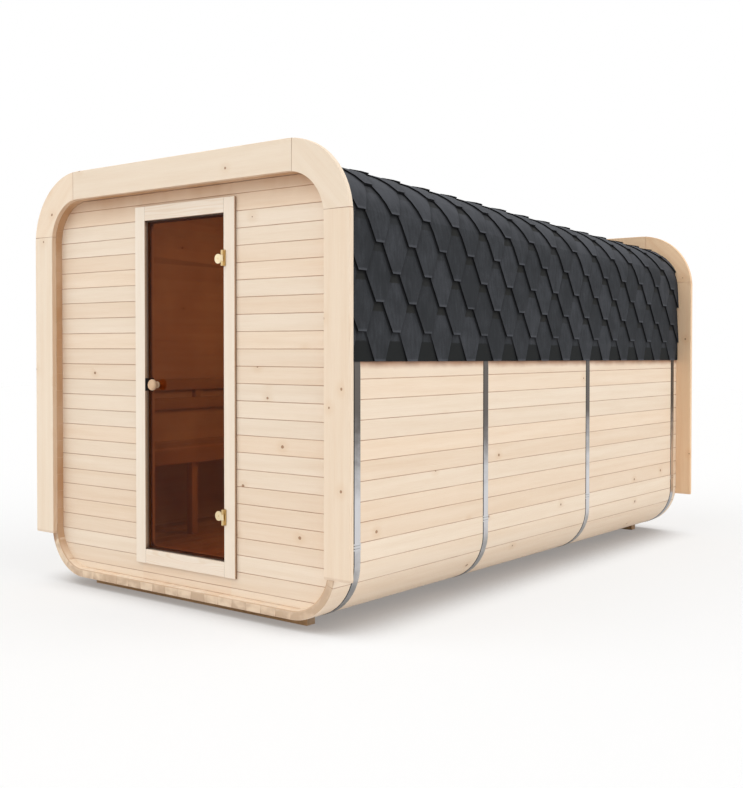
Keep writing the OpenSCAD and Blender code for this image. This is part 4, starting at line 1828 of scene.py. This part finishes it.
@dataclass
class Doorway:
    """Frame, glass leaf, hinges, knobs and catch."""

    clip_proud: float = 0.007
    screw_radius: float = 0.0042
    screw_points: int = 16
    around: int = 48
    profile_points: int = 46
    profile_rounds: int = 2
    knob_cut: float = 0.35
    knob_smooth: float = 40.0
    screw_smooth: float = 35.0
    # Painted shade on the reveals and other side faces of the door frame.
    sheltered: float = 0.85
    catch_ease: float = 0.001
    hinge_ease: float = 0.0012

    def turned(self, profile: np.ndarray, centre: Triple, towards: float) -> tuple[np.ndarray, ...]:
        """Turns a profile round a line parallel to Y.

        A point is the centre, plus the profile's height along Y, plus its radius at each angle.

        Args:
            profile: Points (radius, height).
            centre: Start of the line.
            towards: 1 to build towards +Y, -1 towards the front.

        Returns:
            Rings and places in the wood, with the grain along the knob.
        """
        angle = np.linspace(0.0, 2 * math.pi, self.around, endpoint=False)
        radius, height = profile[:, :1], profile[:, 1:] + 0 * angle
        side, up = radius * np.cos(angle), radius * np.sin(angle)
        points = np.stack([side, towards * height, up], axis=-1) + np.array(centre)
        return points[None], np.stack([height, side, up], axis=-1)[None]

    def knob(self, node: str, towards: float, draw: np.random.Generator) -> bpy.types.Object:
        """Builds a turned knob: a foot, a waist, a rounded head and two shallow rings in its face.

        The profile is a smooth curve close to a few radii and heights, scaled to the node's size.

        Args:
            node: The node it stands for.
            towards: 1 if it stands towards +Y, -1 if towards the front.
            draw: The source of random numbers.

        Returns:
            The piece.
        """
        low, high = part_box(node)
        glass_low, glass_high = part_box("door_glass")
        seat = glass_low.y if towards < 0 else glass_high.y
        reach = seat - low.y if towards < 0 else high.y - seat
        keys = np.array(KNOB_PROFILE)
        share = np.linspace(0, len(keys) - 1, self.profile_points)
        profile = np.stack([np.interp(share, np.arange(len(keys)), key) for key in keys.T], axis=1)
        for _ in range(self.profile_rounds):
            inner = [np.convolve(values, (0.25, 0.5, 0.25), "valid") for values in profile.T]
            profile = np.vstack([profile[:1], np.stack(inner, axis=1), profile[-1:]])
        profile = profile * np.array([(high.x - low.x) / 2, reach])
        centre = ((low.x + high.x) / 2, seat, (low.z + high.z) / 2)
        rings, place = self.turned(profile, centre, towards)
        shift, tone = random_board(draw, 1)
        wear = np.zeros(rings.shape)
        wear[..., 1] = self.knob_cut
        pile = Pile().loft(rings, place + shift, tone, wear)
        return pile.piece(node.replace("door_knob", "turned_knob"), self.knob_smooth)

    def screw(self, name: str, x: float, y: float, z: float) -> bpy.types.Object:
        """Builds a countersunk screw head with a cross recess, facing the front.

        The head is a low dome; the recess is where four of its points, at right angles, sink.

        Args:
            name: The piece's name.
            x: Its middle, sideways.
            y: The surface it sits in.
            z: Height of its middle.

        Returns:
            The piece.
        """
        angle = np.linspace(0.0, 2 * math.pi, self.screw_points, endpoint=False)
        radius = np.array([1.0, 0.96, 0.72, 0.36, 0.1])[:, None] * self.screw_radius
        height = np.array([0.0, 0.0005, 0.0009, 0.0010, 0.0010])[:, None]
        dip = np.array([0.0, 0.0, 0.0, 0.0008, 0.0008])[:, None]
        dip = dip * (np.arange(self.screw_points) % 4 == 0)
        points = [x + radius * np.cos(angle), y - height + dip, z + radius * np.sin(angle)]
        rings = np.stack(points, axis=-1)[None]
        pile = Pile().loft(rings, rings, np.full((1, 3), 0.5), np.zeros(rings.shape))
        return pile.piece(name, self.screw_smooth)

    def build(self, finishes: Mapping[str, bpy.types.Material], draw: np.random.Generator) -> None:
        """Builds and dresses the whole doorway."""
        frame = {
            "door_jamb_left": GrainAxis.Z,
            "door_jamb_right": GrainAxis.Z,
            "door_head": GrainAxis.X,
            "door_sill": GrainAxis.X,
        }
        for node, axis in frame.items():
            name = node.replace("door_", "frame_")
            piece = bevelled_copy(node, name, axis, draw, sheltered=self.sheltered)
            dress(piece, finishes["frame"], "frame_wood", node)
        catch = bevelled_copy("door_catch", "magnet_catch", GrainAxis.Z, draw, self.catch_ease)
        dress(catch, finishes["plastic"], "catch_plastic", "door_catch")
        refinish("door_glass", finishes["glass"])
        for node, towards in (("door_knob_outside", -1.0), ("door_knob_inside", 1.0)):
            knob = self.knob(node, towards, draw)
            dress(knob, finishes["knob"], "knob_wood", node, "door")
        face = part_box("door_glass")[0].y - self.clip_proud
        for level in ("top", "bottom"):
            for part, body in (("plate", "cabin"), ("clip", "door")):
                node, name = f"hinge_{part}_{level}", f"brass_{part}_{level}"
                piece = bevelled_copy(node, name, GrainAxis.Z, draw, self.hinge_ease)
                dress(piece, finishes[part], "hinge_brass", node, body)
            low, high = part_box(f"hinge_clip_{level}")
            across = low.x + (high.z - low.z) / 2
            screw = self.screw(f"clip_screw_{level}", across, face, (low.z + high.z) / 2)
            dress(screw, finishes["plate"], "hinge_brass", body="door")
        LOG.info("doorway: frame, glass, knobs, hinges and catch")


# ---- Inside and underneath ----


@dataclass
class Fittings:
    """Slatted floor, bench, backrest, bearers and support beams."""

    floor_count: int = 16
    floor_slot: float = 0.012
    slat_count: int = 5
    slat_slot: float = 0.010
    slat_ease: float = 0.0025
    member_ease: float = 0.002
    beam_ease: float = 0.003

    def slats(self, node: str, count: int, slot: float, draw: np.random.Generator) -> Pile:
        """Builds parallel boards along Y that fill a node's box from side to side.

        Each is a section carried along its length, drawn in a little at both ends.

        Args:
            node: The node they stand for.
            count: Number of boards.
            slot: Gap between two.
            draw: The source of random numbers.

        Returns:
            The boards.
        """
        low, high = (np.array(corner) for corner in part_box(node))
        _, length, depth = high - low
        pitch = (high[0] - low[0] + slot) / count
        ease, width = self.slat_ease, pitch - slot
        row = Boards.drawn(draw, np.full(count, width), depth, ease)
        row = replace(row, edge=0 * row.edge)
        shape = (count, 4, row.across.shape[1])
        stations = np.array([0.0, ease, length - ease, length])
        along = np.broadcast_to(stations[None, :, None], shape)
        tight = end_cuts(shape) * ease
        across = np.clip(row.across[:, None, :], tight, width - tight)
        through = np.clip(row.through[:, None, :], tight, depth - tight)
        first = low + np.array([1.0, 0.0, 0.0]) * pitch * np.arange(count)[:, None]
        points = np.stack([across, along, through], axis=-1) + first[:, None, None, :]
        return Pile().lay(row, points, np.stack([along, across, through], axis=-1))

    def build(self, finishes: Mapping[str, bpy.types.Material], draw: np.random.Generator) -> None:
        """Builds and dresses the fittings."""
        inside = finishes["inside"]
        floor = self.slats("floor_boards", self.floor_count, self.floor_slot, draw)
        dress(floor.piece("slatted_floor"), inside, "inside_wood", "floor_boards")
        bench = self.slats("bench_top", self.slat_count, self.slat_slot, draw)
        dress(bench.piece("bench_slats"), inside, "inside_wood", "bench_top")
        members = {
            "bench_rails": GrainAxis.Y,
            "bench_posts": GrainAxis.Z,
            "backrest": GrainAxis.Y,
            "floor_bearers": GrainAxis.X,
        }
        for node, axis in members.items():
            piece = bevelled_copy(node, f"{node}_eased", axis, draw, self.member_ease)
            dress(piece, inside, "inside_wood", node)
        node = "support_beams"
        beams = bevelled_copy(node, "beams_eased", GrainAxis.X, draw, self.beam_ease)
        dress(beams, finishes["beam"], "beam_wood", node)
        LOG.info("fittings: floor, bench, backrest, bearers and beams")


# ---- Studio ----


@dataclass(frozen=True)
class Sun:
    """A distant soft lamp: degrees above the horizon and from +X towards +Y, and its strength."""

    name: str
    height: float
    bearing: float
    power: float


@dataclass
class Studio:
    """Camera, soft light, pale floor and white surroundings."""

    lens: float = 50.84
    sensor: float = 36.0
    eye: Triple = (4.386, -5.937, 1.360)
    turn: float = 38.58
    dip: float = 1.13
    shift: tuple[float, float] = (0.0154, -0.0309)
    suns: tuple[Sun, ...] = (
        Sun("lamp_front", 40.0, 235.0, 0.95),
        Sun("lamp_right", 42.0, 15.0, 1.02),
    )
    sun_spread: float = 60.0
    sky: Colour = (1.0, 0.995, 0.985, 1.0)
    sky_low: float = 0.418
    sky_high: float = 0.912
    room_power: float = 4.8
    room_size: float = 0.6
    room_place: Triple = (0.55, -0.9, 1.75)
    room_tilt: float = 55.0
    room_colour: Triple = (1.0, 0.86, 0.70)
    floor_size: float = 60.0
    floor_dark: Colour = (0.775, 0.780, 0.80, 1.0)
    floor_light: Colour = (0.795, 0.800, 0.82, 1.0)
    # Colour, reach and span of the painted contact shadow on the floor.
    contact: Colour = (0.50, 0.47, 0.45, 1.0)
    contact_reach: float = 0.38
    contact_span: tuple[float, float] = (0.25, 0.88)
    seen: Colour = (0.38, 0.38, 0.38, 1.0)
    glow: float = 0.56

    def camera(self) -> None:
        """Adds the camera."""
        data = bpy.data.cameras.new("camera")
        data.lens = self.lens
        data.sensor_width = self.sensor
        data.shift_x, data.shift_y = self.shift
        thing = in_scene("camera", data)
        thing.location = self.eye
        thing.rotation_euler = (math.radians(90 - self.dip), 0.0, math.radians(self.turn))
        bpy.context.scene.camera = thing

    def lamp(self, sun: Sun) -> None:
        """Adds a distant soft lamp."""
        data = bpy.data.lights.new(sun.name, "SUN")
        data.energy = sun.power
        data.angle = math.radians(self.sun_spread)
        turn = (math.radians(90 - sun.height), 0.0, math.radians(sun.bearing + 90))
        in_scene(sun.name, data).rotation_euler = turn

    def room_lamp(self) -> None:
        """Adds a weak warm lamp inside on the right, so that the room shows through the glass."""
        data = bpy.data.lights.new("room_lamp", "AREA")
        data.energy = self.room_power
        data.size = self.room_size
        data.color = self.room_colour
        thing = in_scene("room_lamp", data)
        thing.location = self.room_place
        thing.rotation_euler = (0.0, math.radians(self.room_tilt), 0.0)
        thing.visible_camera = thing.visible_glossy = thing.visible_transmission = False

    def surroundings(self) -> None:
        """Makes the world: a sky brighter overhead, white where the eye or a reflection sees it."""
        world = bpy.data.worlds.new("studio")
        bpy.context.scene.world = world
        g = Graph(world)
        ray = g.node("ShaderNodeLightPath").outputs
        seen = g.most(ray["Is Camera Ray"], ray["Is Glossy Ray"])
        seen = g.most(seen, ray["Is Transmission Ray"])
        _, _, up = g.split(g.node("ShaderNodeTexCoord").outputs["Generated"])
        limits = {"Value": up, "To Min": self.sky_low, "To Max": self.sky_high}
        strength = g.node("ShaderNodeMapRange", limits).outputs[0]
        soft = g.node("ShaderNodeBackground", {0: self.sky, 1: strength}).outputs[0]
        white = g.node("ShaderNodeBackground", {0: WHITE, 1: 1.0}).outputs[0]
        both = g.node("ShaderNodeMixShader", {0: seen, 1: soft, 2: white}).outputs[0]
        g.node("ShaderNodeOutputWorld", {0: both})

    def floor(self) -> None:
        """Lays the pale floor, which keeps the object's shadow and is white to the eye beyond it.

        It throws light back as a pale floor does. What the eye sees of it is part that and part its
        own glow, so that broad shadows stay faint, and both carry a painted contact shadow close
        under the object, where ambient occlusion finds little open space.
        """
        g = Graph.named("studio floor")
        eye = g.node("ShaderNodeLightPath").outputs["Is Camera Ray"]
        speck = g.ramp(g.noise(g.place(), 3.0, 2.0), 0.2, 0.8)
        colour = g.mix(speck, self.floor_dark, self.floor_light)
        # Painted contact shadow: darker where ambient occlusion finds little open space.
        open_share = g.ramp(g.openness(self.contact_reach), *self.contact_span)
        shade = g.mix(open_share, self.contact, WHITE)
        dim = g.mix(1.0, shade, self.seen, "MULTIPLY")
        diffuse = g.node("ShaderNodeBsdfDiffuse", {"Color": g.mix(eye, colour, dim)})
        strength = g.times(eye, self.glow)
        glow = g.node("ShaderNodeEmission", {"Color": shade, "Strength": strength})
        both = g.node("ShaderNodeAddShader", {0: diffuse.outputs[0], 1: glow.outputs[0]})
        g.node("ShaderNodeOutputMaterial", {0: both.outputs[0]})
        mesh = bpy.data.meshes.new("studio_floor")
        reach = self.floor_size / 2
        ways = [(-1, -1), (1, -1), (1, 1), (-1, 1)]
        mesh.from_pydata([(a * reach, b * reach, 0.0) for a, b in ways], [], [(0, 1, 2, 3)])
        mesh.materials.append(g.owner)
        in_scene("studio_floor", mesh)

    def build(self) -> None:
        """Sets up the whole studio."""
        bpy.context.scene.view_settings.view_transform = "Standard"
        self.camera()
        self.surroundings()
        for sun in self.suns:
            self.lamp(sun)
        self.room_lamp()
        self.floor()
        LOG.info("studio: camera, world, lamps and floor")


def all_finishes() -> dict[str, bpy.types.Material]:
    """Makes every finish, by the word that the builders ask for it with."""
    finishes = {wood.name.lower(): wood.value.material() for wood in Wood}
    return finishes | {
        "steel": BandSteel().material(),
        "clip": Metal("clip brass", paint(240, 224, 188), paint(226, 204, 160), 0.32).material(),
        "plate": Metal("plate brass", paint(226, 200, 150), paint(200, 170, 118), 0.28).material(),
        "glass": BronzeGlass().material(),
        "plastic": MouldedPlastic().material(),
        "shingle": Shingle().material(),
    }


def main() -> None:
    """Builds the sauna's pieces in order and reports each."""
    logging.basicConfig(level=logging.INFO, format="%(name)s: %(message)s")
    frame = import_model()
    draw = np.random.default_rng(SEED)
    finishes = all_finishes()
    front_low, front_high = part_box("fascia_front_top")
    back_low, back_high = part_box("fascia_back_top")
    slope = (front_high.z - back_high.z) / (back_low.y - front_low.y)
    shell = Shell(Roofline(front_low.y, front_high.z, slope))
    shell.build(finishes["wall"], draw)
    EndWalls().build(finishes["wall"], draw)
    FasciaFrame("front", front_low.y, front_high.y, front_high.z).build(finishes["fascia"], draw)
    back = FasciaFrame("back", back_low.y, back_high.y, back_high.z, joint_mark=0.3)
    back.build(finishes["back"], draw)
    Bands(shell).build(finishes["steel"])
    Shingles(shell).build(finishes["shingle"], draw)
    Doorway().build(finishes, draw)
    Fittings().build(finishes, draw)
    Studio().build()


if __name__ == "__main__":
    main()
